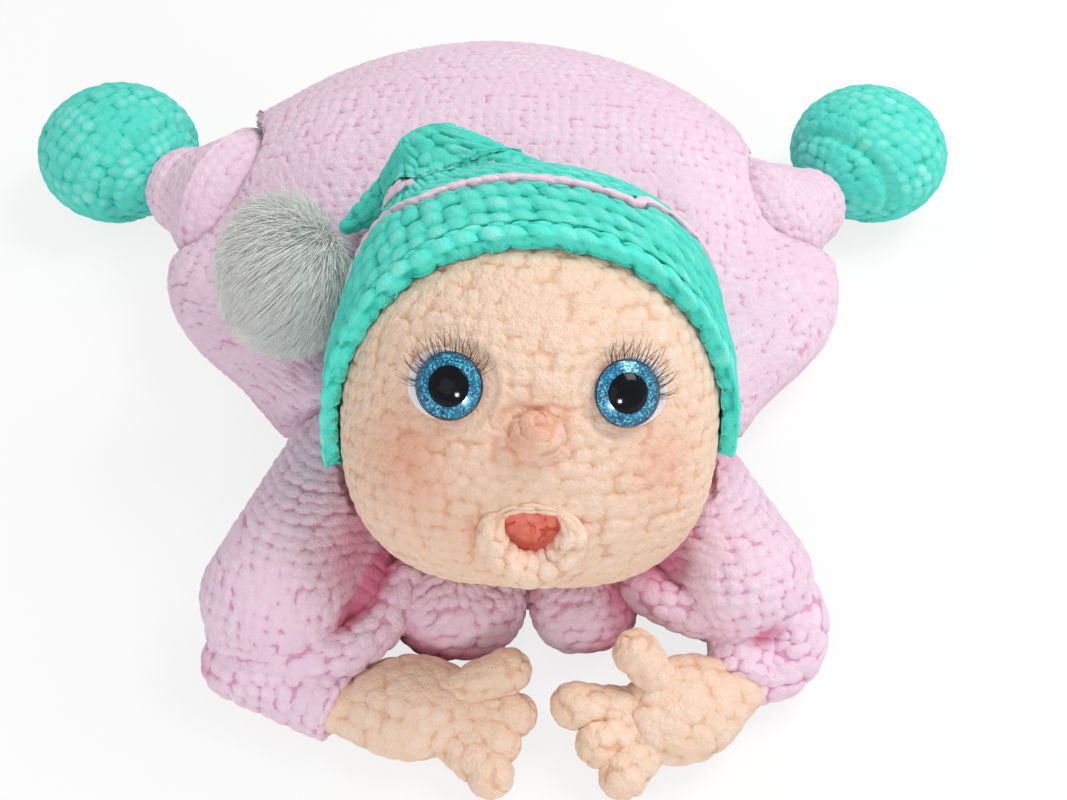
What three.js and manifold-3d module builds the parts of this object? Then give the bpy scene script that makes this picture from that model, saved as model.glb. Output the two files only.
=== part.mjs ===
import * as THREE from 'three';
import { mergeVertices } from 'three/addons/utils/BufferGeometryUtils.js';
import Module from 'manifold-3d';

const wasm = await Module();
wasm.setup();

// A crocheted baby doll lying on its belly. All lengths are millimetres, +Z is up, the face looks to -Y.
// While it is built, x = 0 is the middle of the back and y = 0 is the neckline.

// Shared clearances
const seamGap = 0.3;
const floorCut = 0.5;
const cutOverrun = 20;

// Romper body
const bodyWidth = 380;
const bodyLength = 332;
const bodyHeight = 130;
const chestWidth = 214;
const chestHeight = 46;
const lobeSize = 74;

// Legs and booties
const kneeDiameter = 92;
const cuffDiameter = 64;
const shinLength = 58;
const bootieDiameter = 104;
const bootieHeight = 80;

// Sleeves
const shoulderDiameter = 72;
const elbowDiameter = 86;
const upperArmLength = 92;
const foreArmDiameter = 44;
const wristDiameter = 36;

// Hands
const palmLength = 70;
const palmWidth = 54;
const palmHeight = 38;
const fingerDiameter = 23;
const wristBallDiameter = 26;
const cuffInset = 5;

// Head
const headWidth = 187;
const headDepth = 172;
const headHeight = 191;
const headLift = 27;
const headRoom = 2.5;
const hatEdgeRoom = 30;
const neckDiameter = 40;
const noseWidth = 29;
const noseProud = 9;
const lipDiameter = 36;
const lipThickness = 11;
const mouthDepth = 9;
const mouthWall = 2;

// Eyes
const eyeDiameter = 30;
const eyeDomeHeight = 7.5;
const pupilDiameter = 18.5;
const pupilThickness = 1.2;
const irisThickness = 0.8;
const feltDiameter = 34;
const feltThickness = 1.5;
const feltOffset = 2.6;
const lashLength = 10;
const lashThickness = 0.8;
const shankDiameter = 6;
const shankLength = 15;
const washerDiameter = 18;
const washerThickness = 2;
const washerDepth = 6;

// Hat
const hatThickness = 9;
const bandHeight = 34;
const stripeHeight = 6;
const tailStripeHeight = 9;
const pompomDiameter = 78;
const tieDiameter = 9;

// Angles, in degrees
const headTilt = 40;
const headRoll = 3;
const eyeAzimuth = 26.5;
const eyeElevation = 9.5;
const noseElevation = -3;
const mouthElevation = -36;
const brimSlope = 21;
const napeSlope = 14;
const lashStart = 15;
const lashSweep = 150;
const turnRange = [0, 5, 10, 15];
const armRange = [0, 20, 40];
const foreArmRange = [0, 22, 45];
const handRange = [0, 10, 20];
const shinRange = [-5, 35];

// Shares of the sizes above
const rumpCentreShare = 0.575;
const rumpReachShare = 0.425;
const beltShare = 0.4;
const rumpFullness = 1.85;
const thighPlaceShares = { x: 0.305, y: 0.425, radiusX: 0.205, radiusY: 0.286, height: 0.6 };
const hipPlaceShares = { x: 0.33, y: 0.61, radiusX: 0.18, radiusY: 0.2, height: 0.66 };
const chestPlaceShares = { y: 0, reach: 0.235 };
const lobePlaceShares = { y: -0.95, depth: 0.45, height: 0.27 };
const lobeShares = [
  { x: -0.48, width: 0.52 },
  { x: 0.43, width: 0.4 },
];
const kneePlaceShares = { x: 0.447, y: 0.585 };
const shinHeadingShares = { x: 0.5, y: 0.866 };
const bootiePlaceShares = { x: 0.9, y: 0.16 };
const shoulderPlaceShares = { x: 0.232, y: 0.004 };
const armHeadingShares = { x: 0.27, y: -0.963 };
const headSideShare = 0.057;
const headSetbackShare = -0.07;
const cheekFullness = 2.7;
const crownFullness = 2.05;
const neckLeanShare = 0.3;
const eyeAimShare = 0.35;
const brimPlaceShare = -0.12;
const napePlaceShare = -0.205;
const noseShares = { height: 0.8, depth: 0.62 };
const tailShares = [
  { x: -0.226, y: 0.27, z: 0.378, radius: 0.24 },
  { x: -0.305, y: 0.378, z: 0.569, radius: 0.1 },
  { x: -0.39, y: 0.55, z: 0.48, radius: 0.075 },
  { x: -0.474, y: 0.504, z: 0.421, radius: 0.05 },
];
const tailStripeShare = 0.5;
const pompomPlaceShares = { x: -0.755, y: -0.205, z: -0.612 };
const pompomFluffShare = 0.035;
const fingerRootShare = 0.3;
const fingerTaperShare = 0.8;

// Each arm's lie: the forearm's and hand's headings seen from above, and each finger from the palm's middle
const armLies = {
  left: {
    side: -1,
    seatShares: { x: 0.07, y: -0.22 },
    foreArmHeading: -36,
    foreArmLength: 42,
    handHeading: 1,
    fingers: [
      { name: 'thumb', heading: 12, rise: 18, reachShare: 0.73 },
      { name: 'index_finger', heading: -6, rise: 0, reachShare: 0.72 },
      { name: 'middle_finger', heading: -24, rise: -3, reachShare: 0.66 },
      { name: 'little_finger', heading: -42, rise: -5, reachShare: 0.74 },
    ],
  },
  right: {
    side: 1,
    seatShares: { x: 0.1, y: -0.08 },
    foreArmHeading: 258,
    foreArmLength: 30,
    handHeading: 205,
    fingers: [
      { name: 'thumb', heading: 144, rise: 38, reachShare: 0.56 },
      { name: 'index_finger', heading: 180, rise: 6, reachShare: 0.78 },
      { name: 'middle_finger', heading: 203, rise: 0, reachShare: 0.66 },
      { name: 'little_finger', heading: 226, rise: -5, reachShare: 0.66 },
    ],
  },
};

// Facets
const fine = { around: 20, along: 12 };
const large = { around: 20, along: 8 };
const medium = { around: 12, along: 8 };
const coarse = { around: 8, along: 6 };
const latheSides = 12;

const yarn = {
  pink: { color: 0xecc4da, roughness: 0.95, metalness: 0 },
  mint: { color: 0x5fe0c4, roughness: 0.95, metalness: 0 },
  skin: { color: 0xf0cdb2, roughness: 0.95, metalness: 0 },
  coral: { color: 0xee8f80, roughness: 0.95, metalness: 0 },
  fur: { color: 0xd6dbd0, roughness: 0.9, metalness: 0 },
};
const clearPlastic = { color: 0xf4f8fa, roughness: 0.05, metalness: 0, transparent: true, opacity: 0.35 };
const blackPlastic = { color: 0x0a0a0c, roughness: 0.2, metalness: 0 };
const glitterFilm = { color: 0x2aa3d6, roughness: 0.3, metalness: 0.4 };
const whiteFelt = { color: 0xf5f5f2, roughness: 0.95, metalness: 0 };
const lashHair = { color: 0x1e1512, roughness: 0.7, metalness: 0 };
const whitePlastic = { color: 0xe8e8e4, roughness: 0.4, metalness: 0 };

const xAxis = new THREE.Vector3(1, 0, 0);
const yAxis = new THREE.Vector3(0, 1, 0);
const zAxis = new THREE.Vector3(0, 0, 1);

// Closed solid of a geometry whose doubled vertices are joined
function solidOf(geometry) {
  const bare = geometry.clone();
  bare.deleteAttribute('normal');
  bare.deleteAttribute('uv');
  const merged = mergeVertices(bare);
  const corners = merged.index.array;
  const kept = [];
  for (let i = 0; i < corners.length; i += 3) {
    const [a, b, c] = [corners[i], corners[i + 1], corners[i + 2]];
    if (a !== b && b !== c && c !== a) kept.push(a, b, c);
  }
  const vertProperties = Float32Array.from(merged.attributes.position.array);
  return new wasm.Manifold(new wasm.Mesh({ numProp: 3, vertProperties, triVerts: Uint32Array.from(kept) }));
}

// Geometry of a solid, for a mesh
function geometryOf(solid) {
  const mesh = solid.getMesh();
  const geometry = new THREE.BufferGeometry();
  const places = new Float32Array(mesh.numVert * 3);
  for (let i = 0; i < mesh.numVert; i += 1) {
    for (let k = 0; k < 3; k += 1) places[3 * i + k] = mesh.vertProperties[mesh.numProp * i + k];
  }
  geometry.setAttribute('position', new THREE.BufferAttribute(places, 3));
  geometry.setIndex(new THREE.BufferAttribute(Uint32Array.from(mesh.triVerts), 1));
  return geometry;
}

function joined(solids) {
  return solids.reduce((sum, solid) => sum.add(solid));
}

function cutBy(solid, cutters) {
  return cutters.reduce((rest, cutter) => rest.subtract(cutter), solid);
}

// Radius, in the direction of a unit vector, of a unit superellipsoid
function fullRadius(direction, power) {
  const shares = [direction.x, direction.y, direction.z].map((part) => Math.abs(part) ** power);
  return (shares[0] + shares[1] + shares[2]) ** (-1 / power);
}

// A stuffed pillow: a superellipsoid whose upper and lower halves have their own heights
function puff({ at, half, low, power = 2, grow = 0 }, facets) {
  const sphere = new THREE.SphereGeometry(1, facets.around, facets.along);
  sphere.rotateX(Math.PI / 2);
  const points = sphere.attributes.position;
  const point = new THREE.Vector3();
  for (let i = 0; i < points.count; i += 1) {
    point.fromBufferAttribute(points, i);
    point.multiplyScalar(fullRadius(point, power));
    const height = point.z < 0 ? low : half.z;
    point.multiply(new THREE.Vector3(half.x + grow, half.y + grow, height + grow)).add(at);
    points.setXYZ(i, point.x, point.y, point.z);
  }
  return solidOf(sphere);
}

// A limb: the skin stretched over two balls of different size
function limb({ from, to, fromRadius, toRadius, grow = 0 }, facets) {
  const length = from.distanceTo(to);
  const lean = Math.asin((fromRadius - toRadius) / length);
  const profile = [];
  for (const [start, end, radius, base] of [
    [-Math.PI / 2, lean, fromRadius + grow, 0],
    [lean, Math.PI / 2, toRadius + grow, length],
  ]) {
    const steps = facets.along / 2;
    for (let i = 0; i <= steps; i += 1) {
      const angle = start + ((end - start) * i) / steps;
      const onAxis = Math.abs(Math.abs(angle) - Math.PI / 2) < Number.EPSILON;
      const reach = onAxis ? 0 : radius * Math.cos(angle);
      profile.push(new THREE.Vector2(reach, base + radius * Math.sin(angle)));
    }
  }
  const geometry = new THREE.LatheGeometry(profile, facets.around);
  const heading = to.clone().sub(from).normalize();
  geometry.applyQuaternion(new THREE.Quaternion().setFromUnitVectors(yAxis, heading));
  geometry.translate(from.x, from.y, from.z);
  return solidOf(geometry);
}

// A limb lying on the floor, or the space it needs to swing about its first ball between two angles:
// outlines of the balls and of the skin between them, stacked from pole to pole
function lyingLimb({ from, to, fromRadius, toRadius, grow = 0, swing = [0, 0] }, facets) {
  const length = Math.hypot(to.x - from.x, to.y - from.y);
  const heading = Math.atan2(to.y - from.y, to.x - from.x);
  const lean = Math.asin((fromRadius - toRadius) / length);
  const [low, high] = swing.map((angle) => heading + THREE.MathUtils.degToRad(angle));
  const outline = [];
  function addArc(radius, first, last, centreAt, skipFirst) {
    const steps = Math.max(1, Math.round((facets.around * Math.abs(last - first)) / (2 * Math.PI)));
    for (let i = skipFirst ? 1 : 0; i <= steps; i += 1) {
      const azimuth = first + ((last - first) * i) / steps;
      outline.push({ centre: centreAt(azimuth), radius, azimuth });
    }
  }
  function farCentre(way) {
    return new THREE.Vector3(from.x + length * Math.cos(way), from.y + length * Math.sin(way), to.z);
  }
  const farHalf = Math.PI / 2 - lean;
  addArc(toRadius + grow, low - farHalf, low, () => farCentre(low), false);
  if (high > low) addArc(toRadius + grow, low, high, farCentre, true);
  addArc(toRadius + grow, high, high + farHalf, () => farCentre(high), true);
  addArc(fromRadius + grow, high + farHalf, low + 2 * Math.PI - farHalf, () => from, false);
  const places = [];
  const corners = [];
  for (let j = 0; j <= facets.along; j += 1) {
    const latitude = Math.PI * (j / facets.along - 1 / 2);
    const level = j % facets.along === 0 ? 0 : Math.cos(latitude);
    for (const { centre, radius, azimuth } of outline) {
      const reach = radius * level;
      places.push(centre.x + reach * Math.cos(azimuth), centre.y + reach * Math.sin(azimuth));
      places.push(centre.z + radius * Math.sin(latitude));
    }
  }
  const count = outline.length;
  for (let j = 0; j < facets.along; j += 1) {
    for (let i = 0; i < count; i += 1) {
      const [a, b] = [j * count + i, j * count + ((i + 1) % count)];
      corners.push(a, b, b + count, a, b + count, a + count);
    }
  }
  const top = facets.along * count;
  for (let i = 0; i + 2 < count; i += 1) {
    corners.push(count - 1, i + 1, i, top + count - 1, top + i, top + i + 1);
  }
  const geometry = new THREE.BufferGeometry();
  geometry.setAttribute('position', new THREE.Float32BufferAttribute(places, 3));
  geometry.setIndex(corners);
  return solidOf(geometry);
}

// Extra radius that lets a faceted ball turn in a faceted socket
function turningRoom(radius, facets) {
  return seamGap + radius * (1 / Math.cos(Math.PI / facets.around) - 1);
}

function ball(at, radius, facets) {
  return puff({ at, half: new THREE.Vector3(radius, radius, radius), low: radius }, facets);
}

// A round piece along +Z from a profile of [radius, height] pairs
function turned(profile) {
  const geometry = new THREE.LatheGeometry(profile.map(([r, h]) => new THREE.Vector2(r, h)), latheSides);
  geometry.rotateX(Math.PI / 2);
  return geometry;
}

function disc(radius, from, to) {
  return turned([[0, from], [radius, from], [radius, to], [0, to]]);
}

function ringDisc(inner, outer, from, to) {
  return turned([[inner, from], [outer, from], [outer, to], [inner, to], [inner, from]]);
}

// The same solid turned about an axis through a point
function turnedAbout(solid, pivot, axis, degrees) {
  const move = new THREE.Matrix4().makeTranslation(pivot.x, pivot.y, pivot.z);
  move.multiply(new THREE.Matrix4().makeRotationAxis(axis, THREE.MathUtils.degToRad(degrees)));
  move.multiply(new THREE.Matrix4().makeTranslation(-pivot.x, -pivot.y, -pivot.z));
  return placed(solid, move);
}

function placed(solid, matrix) {
  const geometry = geometryOf(solid);
  geometry.applyMatrix4(matrix);
  return solidOf(geometry);
}

// The space that a solid takes up at each of a joint's angles
function spaceAt(solid, pivot, axis, angles) {
  return joined(angles.map((angle) => turnedAbout(solid, pivot, axis, angle)));
}

function headingVector(degrees, rise = 0) {
  const turn = THREE.MathUtils.degToRad(degrees);
  const lift = THREE.MathUtils.degToRad(rise);
  return new THREE.Vector3(Math.cos(turn) * Math.cos(lift), Math.sin(turn) * Math.cos(lift), Math.sin(lift));
}

// The half space below the floor, for the flat patch under each stuffed piece
const floorSize = 4 * (bodyWidth + bodyLength);
const floorBlock = new THREE.BoxGeometry(floorSize, floorSize, bodyHeight);
floorBlock.translate(0, 0, -bodyHeight / 2);
const belowFloor = solidOf(floorBlock);

// Height of a ball's centre when it rests on the floor with its flat patch
function restHeight(radius) {
  return radius - floorCut;
}

const group = new THREE.Group();

function addPiece(parent, name, solid, finish) {
  const mesh = new THREE.Mesh(geometryOf(solid), new THREE.MeshStandardMaterial(finish));
  mesh.name = name;
  parent.add(mesh);
  return mesh;
}

// Head frame: x to the picture's right, -y out of the face, z to the crown
const headCentre = new THREE.Vector3(
  headWidth * headSideShare,
  headDepth * headSetbackShare,
  headLift + Math.hypot(
    (headHeight / 2) * Math.cos(THREE.MathUtils.degToRad(headTilt)),
    (headDepth / 2) * Math.sin(THREE.MathUtils.degToRad(headTilt)),
  ),
);
const headGroup = new THREE.Group();
headGroup.position.copy(headCentre);
headGroup.rotation.set(-THREE.MathUtils.degToRad(headTilt), THREE.MathUtils.degToRad(headRoll), 0, 'XYZ');
headGroup.updateMatrix();
const headMatrix = headGroup.matrix;
group.add(headGroup);

// Distance from the head's middle to its skin in a direction of the head frame; the cheeks are fuller
function headRadius(direction) {
  const low = THREE.MathUtils.smoothstep(-direction.z, -0.25, 0.5);
  const power = THREE.MathUtils.lerp(crownFullness, cheekFullness, low);
  const scaled = new THREE.Vector3(
    direction.x / (headWidth / 2),
    direction.y / (headDepth / 2),
    direction.z / (headHeight / 2),
  );
  return fullRadius(scaled, power);
}

// Closed form from its radius in each direction
function roundForm(radiusIn, facets) {
  const sphere = new THREE.SphereGeometry(1, facets.around, facets.along);
  sphere.rotateX(Math.PI / 2);
  const points = sphere.attributes.position;
  const point = new THREE.Vector3();
  for (let i = 0; i < points.count; i += 1) {
    point.fromBufferAttribute(points, i).normalize();
    point.multiplyScalar(radiusIn(point));
    points.setXYZ(i, point.x, point.y, point.z);
  }
  return solidOf(sphere);
}

function headForm(grow) {
  return roundForm((direction) => headRadius(direction) + grow, fine);
}

// Point on the face at an azimuth and an elevation of the head frame
function faceDirection(azimuth, elevation) {
  return headingVector(azimuth - 90, elevation);
}

function facePoint(azimuth, elevation) {
  const direction = faceDirection(azimuth, elevation);
  return direction.clone().multiplyScalar(headRadius(direction));
}

// Frame on the face whose +z points out of the skin, partly turned to the front
function faceFrame(azimuth, elevation, aimShare, sink) {
  const step = 1;
  const right = facePoint(azimuth + step, elevation).sub(facePoint(azimuth - step, elevation));
  const up = facePoint(azimuth, elevation + step).sub(facePoint(azimuth, elevation - step));
  const out = right.cross(up).normalize();
  const aim = out.clone().lerp(new THREE.Vector3(0, -1, 0), aimShare).normalize();
  const side = new THREE.Vector3().crossVectors(zAxis, aim).normalize();
  const top = new THREE.Vector3().crossVectors(aim, side);
  const place = facePoint(azimuth, elevation).addScaledVector(aim, -sink);
  const matrix = new THREE.Matrix4().makeBasis(side, top, aim);
  matrix.setPosition(place);
  return matrix;
}

const neckLean = new THREE.Vector3(0, neckLeanShare, -Math.sqrt(1 - neckLeanShare ** 2));
const neckPivot = headCentre.clone().addScaledVector(neckLean, headCentre.z - headLift);
const turnAxis = headCentre.clone().sub(neckPivot).normalize();

// Eyes: each is a black pupil on a shank under a clear dome, on a glitter ring, felt and a lash strip
const washerHoleDepth = washerDepth + washerThickness + shankLength;
const eyeSink = (feltDiameter / 2 + feltOffset) ** 2 / headWidth;

function eyeSpace() {
  const seat = disc(feltDiameter / 2 + feltOffset + seamGap, 0, cutOverrun);
  const well = disc(washerDiameter / 2 + seamGap, -washerHoleDepth, cutOverrun);
  return solidOf(seat).add(solidOf(well));
}

function fanPlate(inner, outer, start, sweep, thickness) {
  const shape = new THREE.Shape();
  const first = THREE.MathUtils.degToRad(start);
  const last = THREE.MathUtils.degToRad(start + sweep);
  shape.absarc(0, 0, outer, first, last, false);
  shape.absarc(0, 0, inner, last, first, true);
  const curveSegments = latheSides / 2;
  return new THREE.ExtrudeGeometry(shape, { depth: thickness, bevelEnabled: false, curveSegments });
}

function addEye(name, side, parent) {
  const frame = faceFrame(side * eyeAzimuth, eyeElevation, eyeAimShare, eyeSink);
  const eyeGroup = new THREE.Group();
  eyeGroup.applyMatrix4(frame);
  parent.add(eyeGroup);
  const shankHole = solidOf(disc(shankDiameter / 2 + seamGap, -cutOverrun, cutOverrun));
  const feltBase = seamGap;
  const lashBase = feltBase + feltThickness + seamGap;
  const irisBase = lashBase + lashThickness + seamGap;
  const domeBase = irisBase + irisThickness + seamGap;
  const felt = disc(feltDiameter / 2, feltBase, feltBase + feltThickness);
  const feltShift = feltOffset * Math.SQRT1_2;
  felt.translate(side * feltShift, feltShift, 0);
  addPiece(eyeGroup, `eye_${name}_felt`, solidOf(felt).subtract(shankHole), whiteFelt);
  const lashInner = shankDiameter / 2 + washerThickness;
  const lashOuter = eyeDiameter / 2 + lashLength;
  const tilt = side < 0 ? lashStart : 180 - lashStart - lashSweep;
  const lashes = fanPlate(lashInner, lashOuter, tilt, lashSweep, lashThickness);
  lashes.translate(0, 0, lashBase);
  addPiece(eyeGroup, `eye_${name}_lashes`, solidOf(lashes), lashHair);
  const iris = disc(eyeDiameter / 2, irisBase, irisBase + irisThickness);
  addPiece(eyeGroup, `eye_${name}_iris`, solidOf(iris).subtract(shankHole), glitterFilm);
  const pupilBase = domeBase;
  const pupil = solidOf(disc(pupilDiameter / 2, pupilBase, pupilBase + pupilThickness));
  const shank = solidOf(disc(shankDiameter / 2, -shankLength, pupilBase + pupilThickness / 2));
  addPiece(eyeGroup, `eye_${name}_pupil`, pupil.add(shank), blackPlastic);
  const capRadius = ((eyeDiameter / 2) ** 2 + eyeDomeHeight ** 2) / (2 * eyeDomeHeight);
  const domeSide = [[0, domeBase], [eyeDiameter / 2, domeBase]];
  const arcSteps = latheSides / 4;
  const rimAngle = Math.asin(eyeDiameter / 2 / capRadius);
  for (let i = 1; i <= arcSteps; i += 1) {
    const angle = rimAngle * (1 - i / arcSteps);
    const height = domeBase + eyeDomeHeight - capRadius * (1 - Math.cos(angle));
    domeSide.push([i === arcSteps ? 0 : capRadius * Math.sin(angle), height]);
  }
  const pocketTop = domeBase + pupilThickness + seamGap;
  const pupilPocket = solidOf(disc(pupilDiameter / 2 + seamGap, domeBase - cutOverrun, pocketTop));
  addPiece(eyeGroup, `eye_${name}_dome`, solidOf(turned(domeSide)).subtract(pupilPocket), clearPlastic);
  const washerBase = -washerDepth - washerThickness;
  const washer = ringDisc(shankDiameter / 2 + seamGap, washerDiameter / 2, washerBase, -washerDepth);
  addPiece(eyeGroup, `eye_${name}_washer`, solidOf(washer), whitePlastic);
  return placed(eyeSpace(), frame);
}

const eyeSpaces = [addEye('left', -1, headGroup), addEye('right', 1, headGroup)];

// Mouth: a coral cup set in the face, with a thick lip ring round it
const mouthFrame = faceFrame(0, mouthElevation, eyeAimShare, 0);
const cupRadius = (lipDiameter - lipThickness) / 2;
const mouthWell = placed(solidOf(disc(cupRadius + seamGap, -mouthDepth - seamGap, cutOverrun)), mouthFrame);
const cupProfile = [
  [0, -mouthDepth],
  [cupRadius, -mouthDepth],
  [cupRadius, -seamGap],
  [cupRadius - mouthWall, -seamGap],
  [cupRadius - mouthWall, mouthWall - mouthDepth],
  [0, mouthWall - mouthDepth],
];
const mouthCup = placed(solidOf(turned(cupProfile)), mouthFrame);
const lipTorus = new THREE.TorusGeometry(lipDiameter / 2, lipThickness / 2, medium.along, medium.around);
lipTorus.translate(0, 0, lipThickness / 4);
const lipRing = placed(solidOf(lipTorus), mouthFrame).subtract(headForm(seamGap)).subtract(
  placed(solidOf(disc(cupRadius - mouthWall, -cutOverrun, 0)), mouthFrame),
);

// Nose: a round button on the face
const noseFrame = faceFrame(0, noseElevation, 0, 0);
const noseDepth = noseWidth * noseShares.depth;
const noseBall = puff({
  at: new THREE.Vector3(0, 0, noseProud - noseDepth / 2),
  half: new THREE.Vector3(noseWidth / 2, (noseWidth * noseShares.height) / 2, noseDepth / 2),
  low: noseDepth / 2,
}, medium);
const nose = placed(noseBall, noseFrame).subtract(headForm(seamGap));

const neckBall = ball(neckPivot, neckDiameter / 2, large);
const neckSocket = ball(neckPivot, neckDiameter / 2 + turningRoom(neckDiameter / 2, large), large);
const headUnplaced = headMatrix.clone().invert();
const headSkin = cutBy(headForm(0), [...eyeSpaces, mouthWell, placed(neckSocket, headUnplaced)]);
addPiece(headGroup, 'head', headSkin, yarn.skin);
addPiece(headGroup, 'nose', nose, yarn.skin);
addPiece(headGroup, 'lip_ring', lipRing, yarn.skin);
addPiece(headGroup, 'mouth_lining', mouthCup, yarn.coral);

// Hat: a shell on the head, sliced square to its axis into band, stripe and crown, with a folded tail
const hatAxis = new THREE.Vector3(
  0,
  Math.cos(THREE.MathUtils.degToRad(brimSlope)),
  Math.sin(THREE.MathUtils.degToRad(brimSlope)),
);
const brimPlace = headDepth * brimPlaceShare;
const sliceSize = 4 * (headWidth + hatThickness);

function hatSlab(from, to) {
  const slab = new THREE.BoxGeometry(sliceSize, to - from, sliceSize);
  slab.translate(0, (from + to) / 2, 0);
  slab.applyQuaternion(new THREE.Quaternion().setFromUnitVectors(yAxis, hatAxis));
  return solidOf(slab);
}

const napePlace = headHeight * napePlaceShare;
const napeBlockSize = 2 * headHeight;
const hatInside = headForm(seamGap);

// The part of the head's space that lies behind the brim and above the nape edge, by a distance
function hatRegion(inset) {
  const nape = new THREE.BoxGeometry(sliceSize, sliceSize, napeBlockSize);
  nape.translate(0, 0, inset + napeBlockSize / 2);
  nape.rotateX(THREE.MathUtils.degToRad(napeSlope));
  nape.translate(0, 0, napePlace);
  return hatSlab(brimPlace + inset, sliceSize).intersect(solidOf(nape));
}

const tailBalls = tailShares.map((share) => ({
  at: new THREE.Vector3(share.x * headWidth, share.y * headDepth, share.z * headHeight),
  radius: share.radius * headWidth,
}));

function tailLimb(index) {
  const [first, second] = [tailBalls[index], tailBalls[index + 1]];
  return limb({ from: first.at, to: second.at, fromRadius: first.radius, toRadius: second.radius }, coarse);
}

const hatShell = headForm(hatThickness + seamGap).subtract(hatInside);
const stripeInset = bandHeight + seamGap;
const crownInset = stripeInset + stripeHeight + seamGap;
const band = hatShell.intersect(hatRegion(0)).subtract(hatRegion(bandHeight));
const stripe = hatShell.intersect(hatRegion(stripeInset)).subtract(hatRegion(stripeInset + stripeHeight));
const tailTube = joined([tailLimb(0), tailLimb(1), tailLimb(2)]);
const tailLine = tailBalls[1].at.clone().sub(tailBalls[0].at).normalize();
const tailStripePlace = tailBalls[0].at.clone().lerp(tailBalls[1].at, tailStripeShare);

function tailSlab(from, to) {
  const slab = new THREE.BoxGeometry(sliceSize, to - from, sliceSize);
  slab.translate(0, (from + to) / 2, 0);
  slab.applyQuaternion(new THREE.Quaternion().setFromUnitVectors(yAxis, tailLine));
  slab.translate(...tailStripePlace.toArray());
  return solidOf(slab);
}

const tailOutside = tailTube.subtract(headForm(hatThickness + 2 * seamGap)).intersect(hatRegion(crownInset));
const crownTop = tailLimb(0).intersect(tailSlab(-sliceSize, 0));
const crownOutside = joined([headForm(hatThickness + seamGap), crownTop]);
const crown = crownOutside.subtract(hatInside).intersect(hatRegion(crownInset));
const tailBase = tailLimb(0).subtract(headForm(hatThickness + 2 * seamGap));
const tailStripe = tailBase.intersect(tailSlab(seamGap, tailStripeHeight));
const tailTip = tailOutside.subtract(tailSlab(-sliceSize, tailStripeHeight + seamGap));
const tip = tailBalls[tailBalls.length - 1];
const tailEnd = tailBalls[tailBalls.length - 2].at;
const tailDrop = tip.at.clone().sub(tailEnd).normalize();
addPiece(headGroup, 'hat_band', band, yarn.mint);
addPiece(headGroup, 'hat_stripe', stripe, yarn.pink);
addPiece(headGroup, 'hat_crown', crown, yarn.mint);
addPiece(headGroup, 'hat_tail_stripe', tailStripe, yarn.pink);
addPiece(headGroup, 'hat_tail', tailTip, yarn.mint);

// Pompom: a fur ball tied to the tail's tip
const tieCentre = tip.at.clone().addScaledVector(tailDrop, tip.radius + seamGap + tieDiameter / 2);
const { x: pompomX, y: pompomY, z: pompomZ } = pompomPlaceShares;
const pompomAim = new THREE.Vector3(pompomX, pompomY, pompomZ).normalize();
const pompomSpan = pompomDiameter * (1 - pompomFluffShare / 2) + tieDiameter;
const pompomCentre = tieCentre.clone().addScaledVector(pompomAim, pompomSpan / 2 + seamGap);
const fur = new THREE.IcosahedronGeometry(pompomDiameter / 2, 3);
const furPoints = fur.attributes.position;
const furPoint = new THREE.Vector3();
for (let i = 0; i < furPoints.count; i += 1) {
  furPoint.fromBufferAttribute(furPoints, i);
  const unit = furPoint.clone().normalize();
  const tuft = Math.sin(7 * unit.x + 3 * unit.y) * Math.cos(6 * unit.z - 4 * unit.y);
  furPoint.multiplyScalar(1 - pompomFluffShare + pompomFluffShare * tuft);
  furPoints.setXYZ(i, ...furPoint.toArray());
}
fur.translate(...pompomCentre.toArray());
const tie = ball(tieCentre, tieDiameter / 2, coarse).subtract(tailLimb(tailShares.length - 2));
addPiece(headGroup, 'pompom_tie', tie, yarn.mint);
addPiece(headGroup, 'pompom', solidOf(fur), yarn.fur);

// Space kept free for the head and the hat while the head turns about the neck
const turnAxisInHead = turnAxis.clone().transformDirection(headUnplaced);
const napeNormal = zAxis.clone().applyAxisAngle(xAxis, THREE.MathUtils.degToRad(napeSlope));

function hatReach(direction) {
  const radius = headRadius(direction);
  const place = direction.clone().multiplyScalar(radius);
  const behindBrim = place.dot(hatAxis) > brimPlace - hatEdgeRoom;
  const aboveNape = place.dot(napeNormal) > napePlace * napeNormal.z - hatEdgeRoom;
  return behindBrim && aboveNape ? radius + hatThickness : radius;
}

const headEnvelope = roundForm((direction) => Math.max(...turnRange.map((angle) => {
  const back = direction.clone().applyAxisAngle(turnAxisInHead, -THREE.MathUtils.degToRad(angle));
  return hatReach(back);
})) + headRoom, fine);
const headSpace = placed(headEnvelope, headMatrix);

// Arms and hands
function armPieces(name, lie) {
  const shoulder = new THREE.Vector3(
    lie.side * bodyWidth * shoulderPlaceShares.x,
    bodyLength * shoulderPlaceShares.y,
    restHeight(shoulderDiameter / 2),
  );
  const armHeading = new THREE.Vector3(lie.side * armHeadingShares.x, armHeadingShares.y, 0).normalize();
  const elbow = shoulder.clone().addScaledVector(armHeading, upperArmLength);
  elbow.z = restHeight(elbowDiameter / 2);
  const seat = elbow.clone().add(new THREE.Vector3(
    lie.side * elbowDiameter * lie.seatShares.x,
    elbowDiameter * lie.seatShares.y,
    0,
  ));
  seat.z = restHeight(foreArmDiameter / 2);
  const wrist = seat.clone().addScaledVector(headingVector(lie.foreArmHeading), lie.foreArmLength);
  wrist.z = restHeight(wristDiameter / 2);
  const palmCentre = wrist.clone().addScaledVector(headingVector(lie.handHeading), palmLength / 2 + seamGap);
  palmCentre.z = restHeight(palmHeight / 2);
  return { shoulder, elbow, seat, wrist, palmCentre, lie, name };
}

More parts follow.
